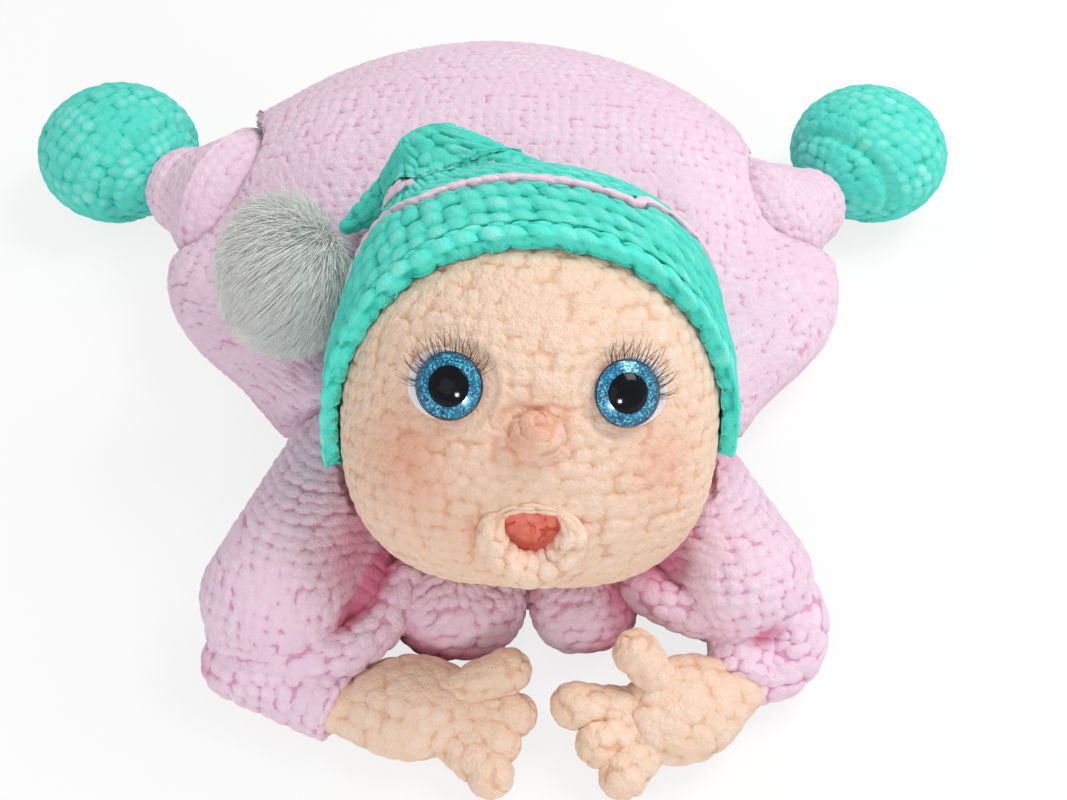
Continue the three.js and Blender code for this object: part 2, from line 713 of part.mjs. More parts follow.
function palmForm({ palmCentre, wrist, lie }, grow) {
  const palm = puff({
    at: new THREE.Vector3(),
    half: new THREE.Vector3(palmLength / 2, palmWidth / 2, palmHeight / 2),
    low: palmHeight / 2,
    grow,
  }, medium);
  const turn = new THREE.Matrix4().makeRotationZ(THREE.MathUtils.degToRad(lie.handHeading));
  turn.setPosition(palmCentre);
  return joined([placed(palm, turn), ball(wrist, wristBallDiameter / 2 + grow, medium)]);
}

function fingerForm({ palmCentre, lie }, finger, grow) {
  const aim = headingVector(finger.heading, finger.rise);
  const radius = fingerDiameter / 2;
  const fingertip = palmCentre.clone().addScaledVector(aim, finger.reachShare * palmLength);
  fingertip.z = Math.max(fingertip.z, restHeight(radius));
  const root = palmCentre.clone().lerp(fingertip, fingerRootShare);
  const fromRadius = radius * fingerTaperShare;
  return limb({ from: root, to: fingertip, fromRadius, toRadius: radius, grow }, coarse);
}

function upperArmForm({ shoulder, elbow }, grow, swing) {
  const [fromRadius, toRadius] = [shoulderDiameter / 2, elbowDiameter / 2];
  return lyingLimb({ from: shoulder, to: elbow, fromRadius, toRadius, grow, swing }, large);
}

function foreArmForm({ seat, wrist }, grow, swing) {
  const [fromRadius, toRadius] = [foreArmDiameter / 2, wristDiameter / 2];
  return lyingLimb({ from: seat, to: wrist, fromRadius, toRadius, grow, swing }, medium);
}

// The space beyond the cuff, where the hand comes out of the forearm
function cuffSpace({ wrist, lie }) {
  const block = new THREE.BoxGeometry(palmLength, floorSize, floorSize);
  block.translate(palmLength / 2 - cuffInset, 0, 0);
  const heading = (lie.foreArmHeading + lie.handHeading) / 2;
  const turn = new THREE.Matrix4().makeRotationZ(THREE.MathUtils.degToRad(heading));
  turn.setPosition(wrist);
  return placed(solidOf(block), turn);
}

// Legs and booties
function legPlaces(name, side) {
  const knee = new THREE.Vector3(
    side * bodyWidth * kneePlaceShares.x,
    bodyLength * kneePlaceShares.y,
    restHeight(kneeDiameter / 2),
  );
  const shinHeading = new THREE.Vector3(side * shinHeadingShares.x, shinHeadingShares.y, 0).normalize();
  const cuff = knee.clone().addScaledVector(shinHeading, shinLength);
  const bootie = cuff.clone().add(new THREE.Vector3(
    side * bootieDiameter * bootiePlaceShares.x / 2,
    bootieDiameter * bootiePlaceShares.y,
    0,
  ));
  bootie.z = restHeight(bootieHeight / 2);
  return { name, side, knee, cuff, bootie, shinHeading };
}

function shinForm({ knee, cuff }, grow, swing) {
  const [fromRadius, toRadius] = [kneeDiameter / 2, cuffDiameter / 2];
  return lyingLimb({ from: knee, to: cuff, fromRadius, toRadius, grow, swing }, large);
}

function bootieForm({ bootie }, grow) {
  const half = new THREE.Vector3(bootieDiameter / 2, bootieDiameter / 2, bootieHeight / 2);
  return puff({ at: bootie, half, low: bootieHeight / 2, grow }, large);
}

// Body: the rump, two thighs, the chest under the head and two folds of cloth under the chin
function bodyForm() {
  const beltHeight = bodyHeight * beltShare;
  const rump = puff({
    at: new THREE.Vector3(0, bodyLength * rumpCentreShare, beltHeight),
    half: new THREE.Vector3(bodyWidth / 2, bodyLength * rumpReachShare, bodyHeight - beltHeight),
    low: beltHeight + floorCut,
    power: rumpFullness,
  }, fine);
  const pads = [rump];
  for (const side of [-1, 1]) {
    for (const share of [thighPlaceShares, hipPlaceShares]) {
      const halfHeight = (bodyHeight * share.height) / 2;
      pads.push(puff({
        at: new THREE.Vector3(side * bodyWidth * share.x, bodyLength * share.y, halfHeight),
        half: new THREE.Vector3(bodyWidth * share.radiusX, bodyLength * share.radiusY, halfHeight),
        low: halfHeight + floorCut,
      }, medium));
    }
  }
  const lobeHeight = lobeSize * lobePlaceShares.height;
  for (const lobe of lobeShares) {
    pads.push(puff({
      at: new THREE.Vector3(headCentre.x + lobe.x * lobeSize, lobeSize * lobePlaceShares.y, lobeHeight),
      half: new THREE.Vector3(lobeSize * lobe.width, lobeSize * lobePlaceShares.depth, lobeHeight),
      low: lobeHeight + floorCut,
    }, medium));
  }
  pads.push(puff({
    at: new THREE.Vector3(0, bodyLength * chestPlaceShares.y, chestHeight / 2),
    half: new THREE.Vector3(chestWidth / 2, bodyLength * chestPlaceShares.reach, chestHeight / 2),
    low: chestHeight / 2 + floorCut,
  }, medium));
  return joined(pads);
}

const arms = Object.entries(armLies).map(([name, lie]) => armPieces(name, lie));
const legs = [legPlaces('left', -1), legPlaces('right', 1)];
const bodyCutters = [headSpace, neckSocket, belowFloor];

// A range of turns about +Z that is given for the right side, mirrored for the left
function sideRange(range, side) {
  const turns = [side * range[0], side * range[range.length - 1]];
  return [Math.min(...turns), Math.max(...turns)];
}

for (const arm of arms) {
  const { side } = arm.lie;
  const armRoom = turningRoom(shoulderDiameter / 2, large);
  const foreArmRoom = turningRoom(foreArmDiameter / 2, medium);
  const wristRoom = turningRoom(wristBallDiameter / 2, medium);
  const rising = new THREE.Vector3().crossVectors(headingVector(arm.lie.handHeading), zAxis);
  const liftedHand = spaceAt(palmForm(arm, wristRoom), arm.wrist, rising, handRange);
  const handSpace = spaceAt(liftedHand, arm.seat, zAxis, foreArmRange.map((angle) => side * angle));
  const headPocket = spaceAt(headSpace, arm.shoulder, zAxis, armRange.map((angle) => -side * angle));
  const wristSocket = ball(arm.wrist, wristBallDiameter / 2 + wristRoom, medium);
  const elbowPocket = foreArmForm(arm, foreArmRoom, sideRange(foreArmRange, side));
  bodyCutters.push(upperArmForm(arm, armRoom, sideRange(armRange, side)));
  const upperArm = cutBy(upperArmForm(arm, 0), [elbowPocket, handSpace, headPocket, belowFloor]);
  const foreArm = cutBy(foreArmForm(arm, 0), [cuffSpace(arm), wristSocket, belowFloor]);
  addPiece(group, `sleeve_${arm.name}`, upperArm, yarn.pink);
  addPiece(group, `forearm_${arm.name}`, foreArm, yarn.pink);
  addPiece(group, `palm_${arm.name}`, palmForm(arm, 0).subtract(belowFloor), yarn.skin);
  const taken = [palmForm(arm, seamGap), belowFloor];
  for (const finger of arm.lie.fingers) {
    addPiece(group, `${finger.name}_${arm.name}`, cutBy(fingerForm(arm, finger, 0), taken), yarn.skin);
    taken.push(fingerForm(arm, finger, seamGap));
  }
}

for (const leg of legs) {
  const kneeRoom = turningRoom(kneeDiameter / 2, large);
  bodyCutters.push(shinForm(leg, kneeRoom, sideRange(shinRange, -leg.side)));
  const bootieSpace = bootieForm(leg, turningRoom(bootieDiameter / 2, large));
  addPiece(group, `leg_${leg.name}`, cutBy(shinForm(leg, 0), [bootieSpace, belowFloor]), yarn.pink);
  addPiece(group, `bootie_${leg.name}`, bootieForm(leg, 0).subtract(belowFloor), yarn.mint);
}

addPiece(group, 'body', cutBy(bodyForm(), bodyCutters), yarn.pink);
addPiece(group, 'neck', neckBall.subtract(belowFloor), yarn.skin);

// The origin goes to the middle of the footprint, on the floor
group.updateMatrixWorld(true);
const bounds = new THREE.Box3().setFromObject(group, true);
group.position.set(-(bounds.min.x + bounds.max.x) / 2, -(bounds.min.y + bounds.max.y) / 2, -bounds.min.z);

export default group;
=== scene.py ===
"""Looks of a crocheted baby doll that lies on its belly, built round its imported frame.

Lengths are millimetres until a mesh is made. +Z is up and the face looks to -Y. Every soft form is
a grid of points, rows by columns, whose seams are sunk into the form's own skin.
"""

import sys
import logging
import math
from dataclasses import dataclass, field, replace
from enum import Enum
from typing import Any, Protocol

import bpy
import numpy as np
from mathutils import Matrix, Vector


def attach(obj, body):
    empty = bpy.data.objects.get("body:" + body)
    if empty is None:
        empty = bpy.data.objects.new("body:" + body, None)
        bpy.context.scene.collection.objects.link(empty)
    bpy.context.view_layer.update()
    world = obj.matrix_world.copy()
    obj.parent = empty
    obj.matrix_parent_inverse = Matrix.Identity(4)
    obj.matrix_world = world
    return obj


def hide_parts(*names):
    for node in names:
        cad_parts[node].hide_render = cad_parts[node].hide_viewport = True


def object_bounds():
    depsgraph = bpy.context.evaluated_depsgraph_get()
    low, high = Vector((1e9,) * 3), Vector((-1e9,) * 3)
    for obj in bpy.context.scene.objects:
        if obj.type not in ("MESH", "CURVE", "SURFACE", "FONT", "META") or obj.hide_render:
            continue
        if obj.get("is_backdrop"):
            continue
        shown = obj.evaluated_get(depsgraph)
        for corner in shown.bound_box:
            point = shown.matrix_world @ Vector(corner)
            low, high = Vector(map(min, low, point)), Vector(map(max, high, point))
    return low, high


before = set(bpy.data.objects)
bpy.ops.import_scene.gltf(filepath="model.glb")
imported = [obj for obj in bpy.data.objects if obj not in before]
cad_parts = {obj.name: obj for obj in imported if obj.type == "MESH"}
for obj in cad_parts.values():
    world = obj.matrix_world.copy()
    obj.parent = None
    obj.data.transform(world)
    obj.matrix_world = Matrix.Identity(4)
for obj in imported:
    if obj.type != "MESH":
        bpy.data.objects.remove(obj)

LOG = logging.getLogger("doll")
MM = 0.001
Array = np.ndarray
Point = tuple[float, float, float]
NECK = (10.7, -59.2, 31.2)
REST = 0.25


# Numbers


def unit(vectors: Array) -> Array:
    """Vectors divided by their own length."""
    return vectors / np.maximum(np.linalg.norm(vectors, axis=-1, keepdims=True), 1e-9)


def ease(value: Array, start: float, end: float) -> Array:
    """0 before start, 1 after end, and 3t^2 - 2t^3 between them."""
    share = np.clip((value - start) / (end - start), 0.0, 1.0)
    return share * share * (3.0 - 2.0 * share)


def chance(first: Array, second: Array, seed: float) -> Array:
    """Number from 0 to 1 for a pair of whole numbers: the fraction of a large sine.

    Args:
        first: Row numbers.
        second: Place numbers along the row.
        seed: A different seed gives other numbers.

    Returns:
        Numbers that look random and are the same each run.
    """
    return np.abs(np.modf(np.sin(first * 12.9898 + second * 78.233 + seed * 3.713) * 43758.5453)[0])


def spread(count: int, weights: Array) -> Array:
    """Places from 0 to 1 that lie close where the weights are large.

    Args:
        count: Number of places.
        weights: Density at equal steps from 0 to 1.

    Returns:
        The places, found where the running sum of the weights passes equal shares.
    """
    total = np.concatenate([[0.0], np.cumsum(weights)])
    return np.interp(np.linspace(0.0, total[-1], count), total, np.linspace(0.0, 1.0, len(total)))


def soft_low(first: Array, second: Array, blend: float) -> Array:
    """Smaller of two distances, rounded over where they differ by less than the blend."""
    near = np.maximum(blend - np.abs(first - second), 0.0)
    return np.minimum(first, second) - near * near / (4.0 * blend)


def turned_back(offsets: Array, degrees: float) -> Array:
    """Offsets turned the other way by so many degrees about an upright line."""
    cosine, sine = math.cos(math.radians(degrees)), math.sin(math.radians(degrees))
    x, y, z = offsets[..., 0], offsets[..., 1], offsets[..., 2]
    return np.stack([x * cosine + y * sine, y * cosine - x * sine, z], -1)


def aimed(heading: float, rise: float) -> Array:
    """Unit vector at so many degrees round from +x, and so many up."""
    turn, lift = math.radians(heading), math.radians(rise)
    return np.array((math.cos(turn) * math.cos(lift), math.sin(turn) * math.cos(lift), math.sin(lift)))


# Forms


class Form(Protocol):
    """A closed form that can tell how far a point lies outside its skin."""

    def depth(self, points: Array) -> Array:
        """Distance outside the skin, less than 0 inside."""


@dataclass(frozen=True)
class Pad:
    """A stuffed pillow: a superellipsoid whose lower half has its own height."""

    middle: Point
    half: Point
    low: float = 0.0
    power: float = 2.0
    heading: float = 0.0

    def gauge(self, points: Array) -> Array:
        """Share of the way from the middle to the skin: power mean of offsets over half sizes."""
        offset = turned_back(points - np.array(self.middle), self.heading)
        tall = np.where(offset[..., 2] < 0.0, self.low or self.half[2], self.half[2])
        parts = (offset[..., 0] / self.half[0], offset[..., 1] / self.half[1], offset[..., 2] / tall)
        if self.power == 2.0:
            return np.sqrt(sum(part * part for part in parts))
        return sum(np.abs(part) ** self.power for part in parts) ** (1.0 / self.power)

    def depth(self, points: Array) -> Array:
        """Distance to the skin along the line from the middle."""
        reach = np.linalg.norm(points - np.array(self.middle), axis=-1)
        return reach * (1.0 - 1.0 / np.maximum(self.gauge(points), 1e-3))

    def grown(self, room: float) -> "Pad":
        """The same pad, larger all round."""
        low = self.low + room if self.low else 0.0
        return replace(self, half=tuple(half + room for half in self.half), low=low)


@dataclass(frozen=True)
class Limb:
    """The skin stretched over two balls of different size."""

    start: Point
    end: Point
    start_radius: float
    end_radius: float

    def nearest(self, points: Array) -> tuple[Array, Array]:
        """Nearest point of the limb's middle line, and the limb's radius there."""
        line = np.array(self.end) - np.array(self.start)
        share = np.clip((points - np.array(self.start)) @ line / (line @ line), 0.0, 1.0)
        radius = self.start_radius + (self.end_radius - self.start_radius) * share
        return np.array(self.start) + share[..., None] * line, radius

    def depth(self, points: Array) -> Array:
        """Distance to the middle line less the radius there."""
        middle, radius = self.nearest(points)
        return np.linalg.norm(points - middle, axis=-1) - radius

    def grown(self, room: float) -> "Limb":
        """The same limb, larger all round."""
        return replace(self, start_radius=self.start_radius + room, end_radius=self.end_radius + room)


@dataclass(frozen=True)
class Swung:
    """A form carried round an upright line by so many degrees."""

    form: Form
    pivot: Point
    degrees: float

    def depth(self, points: Array) -> Array:
        """Depth of the form at the points turned back."""
        pivot = np.array(self.pivot)
        return self.form.depth(turned_back(points - pivot, self.degrees) + pivot)


def brim_depth(places: Array) -> Array:
    """Distance behind the plane of the cap's brim, in the head's own axes."""
    slope = math.radians(21.0)
    return places[..., 1] * math.cos(slope) + places[..., 2] * math.sin(slope) + 26.5


def nape_height(places: Array) -> Array:
    """Distance above the plane at the nape where the cap ends, in the head's own axes."""
    slope = math.radians(14.0)
    return places[..., 2] * math.cos(slope) - places[..., 1] * math.sin(slope) + 38.0


@dataclass(frozen=True)
class HeadForm:
    """The head: a superellipsoid, tilted back, whose cheeks are fuller than its crown."""

    middle: Point = (10.7, -86.7, 118.7)
    half: Point = (93.5, 86.0, 95.5)
    tilt: float = 40.0
    roll: float = 3.0
    crown_power: float = 2.05
    cheek_power: float = 2.7
    hat: float = 0.0
    turned: float = 0.0
    neck: Point = NECK
    hat_margin: float = 8.0

    def frame(self) -> Array:
        """Rotation to the model from the head's own axes: x aside, -y out of the face, z to the crown."""
        leant = Matrix.Rotation(math.radians(self.roll), 3, "Y")
        tilted = Matrix.Rotation(-math.radians(self.tilt), 3, "X") @ leant
        axis = Vector(self.middle) - Vector(self.neck)
        return np.array(Matrix.Rotation(math.radians(self.turned), 3, axis) @ tilted)

    def own(self, points: Array) -> Array:
        """Model points in the head's own axes."""
        return (points - np.array(self.middle)) @ self.frame()

    def placed(self, points: Array) -> Array:
        """Points of the head's own axes in the model."""
        return points @ self.frame().T + np.array(self.middle)

    def radius(self, directions: Array) -> Array:
        """Distance to the skin, or to the cap where it is worn; the power grows from crown to cheeks."""
        low = ease(-directions[..., 2], -0.25, 0.5)
        power = self.crown_power + (self.cheek_power - self.crown_power) * low
        scaled = np.abs(directions / np.array(self.half))
        bare = (scaled ** power[..., None]).sum(-1) ** (-1.0 / power)
        if not self.hat:
            return bare
        place = directions * bare[..., None]
        covered = np.minimum(brim_depth(place), nape_height(place)) + self.hat_margin
        return bare + self.hat * ease(covered, -8.0, 0.0)

    def depth(self, points: Array) -> Array:
        """Distance to the skin along the line from the middle."""
        own = self.own(points)
        reach = np.linalg.norm(own, axis=-1)
        return reach - self.radius(unit(own))

    def grown(self, room: float) -> "HeadForm":
        """The same head, larger all round."""
        return replace(self, half=tuple(half + room for half in self.half))


@dataclass(frozen=True)
class Fold:
    """A ridge, or where its height is below 0 a crease, along a line on the skin, with painted shade of its
    own strength along it.
    """

    line: tuple[Point, ...]
    width: float
    height: float
    # Strength of the crease colour painted along the line: painted shade standing in for the shade that
    # falls in the fold.
    painted_shade: float = 0.0

    def nearness(self, points: Array) -> Array:
        """e to minus the square of the distance to the line over the width."""
        nearest = np.full(points.shape[:-1], 1e9)
        ends = self.line[1:] if len(self.line) > 1 else self.line
        for start, end in zip(self.line, ends):
            a, b = np.array(start), np.array(end)
            span = b - a
            share = np.clip((points - a) @ span / max(span @ span, 1e-6), 0.0, 1.0)
            nearest = np.minimum(nearest, np.linalg.norm(points - a - share[..., None] * span, axis=-1))
        return np.exp(-((nearest / self.width) ** 2))


# Crochet


class Weave(Enum):
    """How the stitches of neighbouring rows stand to each other."""

    STAGGERED = "staggered"
    RIBBED = "ribbed"


@dataclass(frozen=True)
class Crochet:
    """Rows of puffy stitches, counted anew for each row so that they keep their width."""

    width: float = 8.4
    height: float = 7.8
    loft: float = 2.4
    looseness: float = 0.3
    lean: float = 0.12
    seed: float = 1.0
    weave: Weave = Weave.STAGGERED
    fullness: float = 0.6
    overlap: float = 0.2

    def counts(self, along: Array, girth: Array) -> Array:
        """Whole number of stitches in each row, from the girth where the row lies.

        Args:
            along: Mean distance of each ring of points from the first.
            girth: Length round each ring.

        Returns:
            One number for each row of stitches.
        """
        rows = np.arange(int(along[-1] / self.height) + 3)
        if self.weave is Weave.RIBBED:
            return np.full(len(rows), max(round(float(girth.max()) / self.width), 5.0))
        order = np.argsort(along)
        here = np.interp(rows * self.height, along[order], girth[order])
        return np.maximum(np.round(here / self.width), 5.0)

    def stitches(self, distance: Array, turn: Array, counts: Array) -> tuple[Array, Array]:
        """Height of the yarn: the highest of the nine nearest stitches, each a round cap of a superellipse.

        Args:
            distance: Distance of each point from the first row, along the skin.
            turn: Share of the way round, 0 to 1.
            counts: Number of stitches in each row.

        Returns:
            Height from 0 in the seams to 1 on a stitch, and a number from 0 to 1 for each stitch.
        """
        row = distance / self.height
        base = np.floor(row)
        height = np.zeros_like(row)
        tone = np.full_like(row, 0.5)
        power = 2.2 if self.weave is Weave.STAGGERED else 2.6
        for step in (-1.0, 0.0, 1.0):
            line = base + step
            count = counts[np.clip(line, 0, len(counts) - 1).astype(int)]
            shift = 0.5 * np.mod(line, 2.0) if self.weave is Weave.STAGGERED else 0.0
            place = turn * count + shift + self.lean * (row - line - 0.5)
            first = np.floor(place)
            for aside in (-1.0, 0.0, 1.0):
                stitch = first + aside
                name = np.mod(stitch, count)
                dx = place - stitch - 0.5 - self.looseness * (chance(line, name, self.seed) - 0.5)
                dy = row - line - 0.5 - self.looseness * (chance(line, name, self.seed + 7.0) - 0.5)
                size = self.fullness + 0.08 * (chance(line, name, self.seed + 13.0) - 0.5)
                gap = (np.abs(dx / size) ** power + np.abs(dy / size) ** power) ** (2.0 / power)
                plump = 0.84 + 0.16 * chance(line, name, self.seed + 17.0) - self.overlap * dy
                cap = np.sqrt(np.maximum(1.0 - gap, 0.0)) * plump
                tone = np.where(cap > height, chance(line, name, self.seed + 21.0), tone)
                height = np.maximum(height, cap)
        return np.minimum(height, 1.0), tone


@dataclass
class Skin:
    """A grid of points, closed round its columns, with the marks that its material reads."""

    points: Array
    capped: bool = True
    ringed: bool = False
    marks: dict[str, Array] = field(default_factory=dict)

    def products(self) -> Array:
        """Cross product, at each point, of the steps round and along the grid."""
        around = np.roll(self.points, -1, 1) - np.roll(self.points, 1, 1)
        if self.ringed:
            return np.cross(around, np.roll(self.points, -1, 0) - np.roll(self.points, 1, 0))
        return np.cross(around, np.gradient(self.points, axis=0))

    def facing(self) -> float:
        """1 where the cross products point outwards, else -1: the sign of the volume that they give."""
        return 1.0 if ((self.points - self.points.mean((0, 1))) * self.products()).sum() > 0.0 else -1.0

    def normals(self) -> Array:
        """Outward unit normals."""
        normals = unit(self.products() * self.facing())
        if self.capped:
            normals[0], normals[-1] = normals[1].mean(0), normals[-2].mean(0)
        return unit(normals)

    def layout(self) -> tuple[Array, Array, Array]:
        """Distance from the first ring, share of the way round, and length round each ring."""
        steps = np.linalg.norm(np.diff(self.points, axis=0), axis=-1)
        distance = np.vstack([np.zeros((1, steps.shape[1])), np.cumsum(steps, 0)])
        sides = np.linalg.norm(np.roll(self.points, -1, 1) - self.points, axis=-1)
        girth = sides.sum(1)
        turn = (np.cumsum(sides, 1) - sides) / np.maximum(girth, 1e-6)[:, None]
        return distance, turn, girth

    def crocheted(
        self, crochet: Crochet, folds: tuple[Fold, ...] = (), base: Array | None = None
    ) -> "Skin":
        """The same skin with its folds, and with its seams sunk by the loft.

        Args:
            crochet: The stitches.
            folds: Ridges and creases.
            base: Grid on which the rows are counted, where the skin has been pressed since.

        Returns:
            A new skin with the marks stitch, tone and fold; fold is the strength of the painted shade along
            the folds.
        """
        sheet = Skin(self.points if base is None else base, self.capped, self.ringed)
        distance, turn, girth = sheet.layout()
        counts = crochet.counts(distance.mean(1), girth)
        height, tone = crochet.stitches(distance, turn, counts)
        rise, painted_shade = np.zeros(height.shape), np.zeros(height.shape)
        for fold in folds:
            near = fold.nearness(self.points)
            # Each point takes the strongest painted shade of the folds near it; the mark fold carries it.
            rise, painted_shade = rise + fold.height * near, np.maximum(painted_shade, fold.painted_shade * near)
        moved = self.points + self.normals() * (rise + crochet.loft * (height - 1.0))[..., None]
        marks = {"stitch": height, "tone": tone, "fold": painted_shade}
        return Skin(moved, self.capped, self.ringed, {**self.marks, **marks})

    def resting(self) -> "Skin":
        """The same skin with what lies below the floor laid flat just above it."""
        points = self.points.copy()
        points[..., 2] = np.maximum(points[..., 2], REST)
        return replace(self, points=points)


def star(
    forms: tuple[Form, ...], blend: float, centre: Array, directions: Array, far: float = 1.6,
    cuts: tuple[Form, ...] = (), outermost: bool = False, edge: float = 0.3,
) -> Array:
    """Points where rays leave a soft union of forms: even steps, then halving.

    Args:
        forms: The forms.
        blend: Distance over which they melt into each other.
        centre: Where the rays start.
        directions: One vector for each ray.
        far: Length at which the search ends, in lengths of the vector.
        cuts: Forms that are taken away from the union.
        outermost: Whether the last exit counts and not the first.
        edge: Distance over which the rim of a cut is rounded.

    Returns:
        A point for each ray.
    """

    def inside(length: Array) -> Array:
        """Whether the points at a length along the rays lie in the union."""
        points = centre + directions * length[..., None]
        depth = forms[0].depth(points)
        for form in forms[1:]:
            depth = soft_low(depth, form.depth(points), blend)
        if cuts:
            room = np.min([cut.depth(points) for cut in cuts], axis=0)
            depth = -soft_low(-depth, room, edge)
        return depth < 0.0

    lengths = np.linspace(0.0, far, 37)
    hits = np.stack([inside(np.full(directions.shape[:-1], length)) for length in lengths])
    last = (len(lengths) - 1 - hits[::-1].argmax(0)) * hits.any(0) if outermost else (~hits).argmax(0) - 1
    last = np.clip(last, 0, len(lengths) - 2)
    near, over = lengths[last], lengths[last + 1]
    for _ in range(9):
        middle = 0.5 * (near + over)
        held = inside(middle)
        near, over = np.where(held, middle, near), np.where(held, over, middle)
    return centre + directions * (0.5 * (near + over))[..., None]


def rays(axis: Array | Point, aside: Point, polar: Array, azimuth: Array) -> Array:
    """Directions on a sphere, from one pole to the other.

    Args:
        axis: Where the first pole points.
        aside: Where the azimuth is 0.
        polar: Angles from the first pole.
        azimuth: Angles round it.

    Returns:
        Rows by columns of unit vectors.
    """
    pole = unit(np.array(axis, float))
    side = unit(np.array(aside, float) - pole * (pole @ np.array(aside, float)))
    cross = np.cross(pole, side)
    theta, phi = np.meshgrid(polar, azimuth, indexing="ij")
    ring = np.cos(phi)[..., None] * side + np.sin(phi)[..., None] * cross
    return np.cos(theta)[..., None] * pole + np.sin(theta)[..., None] * ring


def around(count: int) -> Array:
    """Equal angles round a full turn."""
    return np.linspace(0.0, 2.0 * math.pi, count, endpoint=False)


def fan(axis: Array | Point, rows: int, columns: int, aside: Point = (0, 0, 1)) -> Array:
    """Directions at even steps about an axis, from one pole to the other."""
    return rays(axis, aside, np.linspace(0.0, math.pi, rows), around(columns))


def ball(middle: Point, radius: Point, axis: Array | Point, rows: int, columns: int) -> Array:
    """Grid of an ellipsoid: the middle plus each direction times the three radii."""
    return np.array(middle) + fan(axis, rows, columns, (0.3, 0.9, 0.31)) * np.array(radius)


def faces_of(rows: int, columns: int, capped: bool, ringed: bool) -> tuple[Array, Array]:
    """Corner numbers of a closed grid's faces; each capped end is a fan about one point.

    Args:
        rows: Rows of the grid, its two poles included.
        columns: Points round each row.
        capped: Whether the first and last rows are single points.
        ringed: Whether the last row joins the first.

    Returns:
        The four corners of each quad, and the three of each triangle.
    """
    inner, first = (rows - 2, 1) if capped else (rows, 0)
    row = np.arange(inner if ringed else inner - 1)[:, None]
    here = np.arange(columns)
    after = (here + 1) % columns
    below = np.where(row == inner - 1, 0, row + 1)
    near, far = first + row * columns, first + below * columns
    quads = np.stack([near + here, far + here, far + after, near + after], -1).reshape(-1, 4)
    if not capped:
        return quads, np.zeros((0, 3), int)
    last = 1 + (inner - 1) * columns
    start = np.stack([np.zeros(columns, int), 1 + here, 1 + after], -1)
    end = np.stack([np.full(columns, 1 + inner * columns), last + after, last + here], -1)
    return quads, np.concatenate([start, end])


def mesh_of(name: str, skins: list[Skin]) -> bpy.types.Mesh:
    """One mesh of closed skins, in metres, smooth, with their marks as point attributes.

    Args:
        name: Name of the mesh.
        skins: The skins, which share their marks' names.

    Returns:
        The mesh.
    """
    quads, fans, marks = [], [], {}
    count = 0
    for skin in skins:
        rows, columns = skin.points.shape[:2]
        fours, threes = faces_of(rows, columns, skin.capped, skin.ringed)
        order = slice(None, None, -1) if skin.facing() > 0.0 else slice(None)
        quads.append(fours[:, order] + count)
        fans.append(threes[:, order] + count)
        for key, values in {"place": skin.points, **skin.marks}.items():
            flat = values.reshape(rows * columns, -1)
            if skin.capped:
                flat = np.concatenate([flat[:1], flat[columns:-columns], flat[-1:]])
            marks.setdefault(key, []).append(flat)
        count += len(marks["place"][-1])
    places = np.concatenate(marks.pop("place")) * MM
    four, three = np.concatenate(quads), np.concatenate(fans)
    corners = np.concatenate([four.reshape(-1), three.reshape(-1)])
    starts = np.concatenate([np.arange(len(four)) * 4, 4 * len(four) + np.arange(len(three)) * 3])
    mesh = bpy.data.meshes.new(name)
    mesh.vertices.add(len(places))
    mesh.vertices.foreach_set("co", places.astype(np.float32).reshape(-1))
    mesh.loops.add(len(corners))
    mesh.loops.foreach_set("vertex_index", corners.astype(np.int32))
    mesh.polygons.add(len(starts))
    mesh.polygons.foreach_set("loop_start", starts.astype(np.int32))
    mesh.update(calc_edges=True)
    mesh.shade_smooth()
    for key, values in marks.items():
        layer = mesh.attributes.new(key, "FLOAT", "POINT")
        layer.data.foreach_set("value", np.concatenate(values).astype(np.float32).reshape(-1))
    return mesh


# Finishes


def paint(code: str) -> tuple[float, float, float, float]:
    """Linear colour of a six-digit screen colour."""
    parts = [int(code[i : i + 2], 16) / 255.0 for i in (0, 2, 4)]
    linear = [part / 12.92 if part <= 0.04045 else ((part + 0.055) / 1.055) ** 2.4 for part in parts]
    return (linear[0], linear[1], linear[2], 1.0)


class Term:
    """A socket's value in a Python expression; each operation adds its Math node."""

    def __init__(self, board: "Board", socket: bpy.types.NodeSocket) -> None:
        """Keeps the board that grows, and the socket."""
        self.board = board
        self.socket = socket

    def math(self, operation: str, first: Any, second: Any = 0.0) -> "Term":
        """A Math node's value."""
        return self.board.add("ShaderNodeMath", {"operation": operation}, {0: first, 1: second})

    def __add__(self, other: Any) -> "Term":
        """Sum."""
        return self.math("ADD", self, other)

    __radd__ = __add__

    def __rsub__(self, other: Any) -> "Term":
        """Difference from a number."""
        return self.math("SUBTRACT", other, self)

    def __mul__(self, other: Any) -> "Term":
        """Product."""
        return self.math("MULTIPLY", self, other)

    __rmul__ = __mul__

    def __pow__(self, other: Any) -> "Term":
        """Power."""
        return self.math("POWER", self, other)

    def between(self, start: float, end: float) -> "Term":
        """0 at start, 1 at end, held outside them."""
        settings = {"interpolation_type": "SMOOTHSTEP"}
        sockets = {"Value": self, "From Min": start, "From Max": end}
        return self.board.add("ShaderNodeMapRange", settings, sockets)


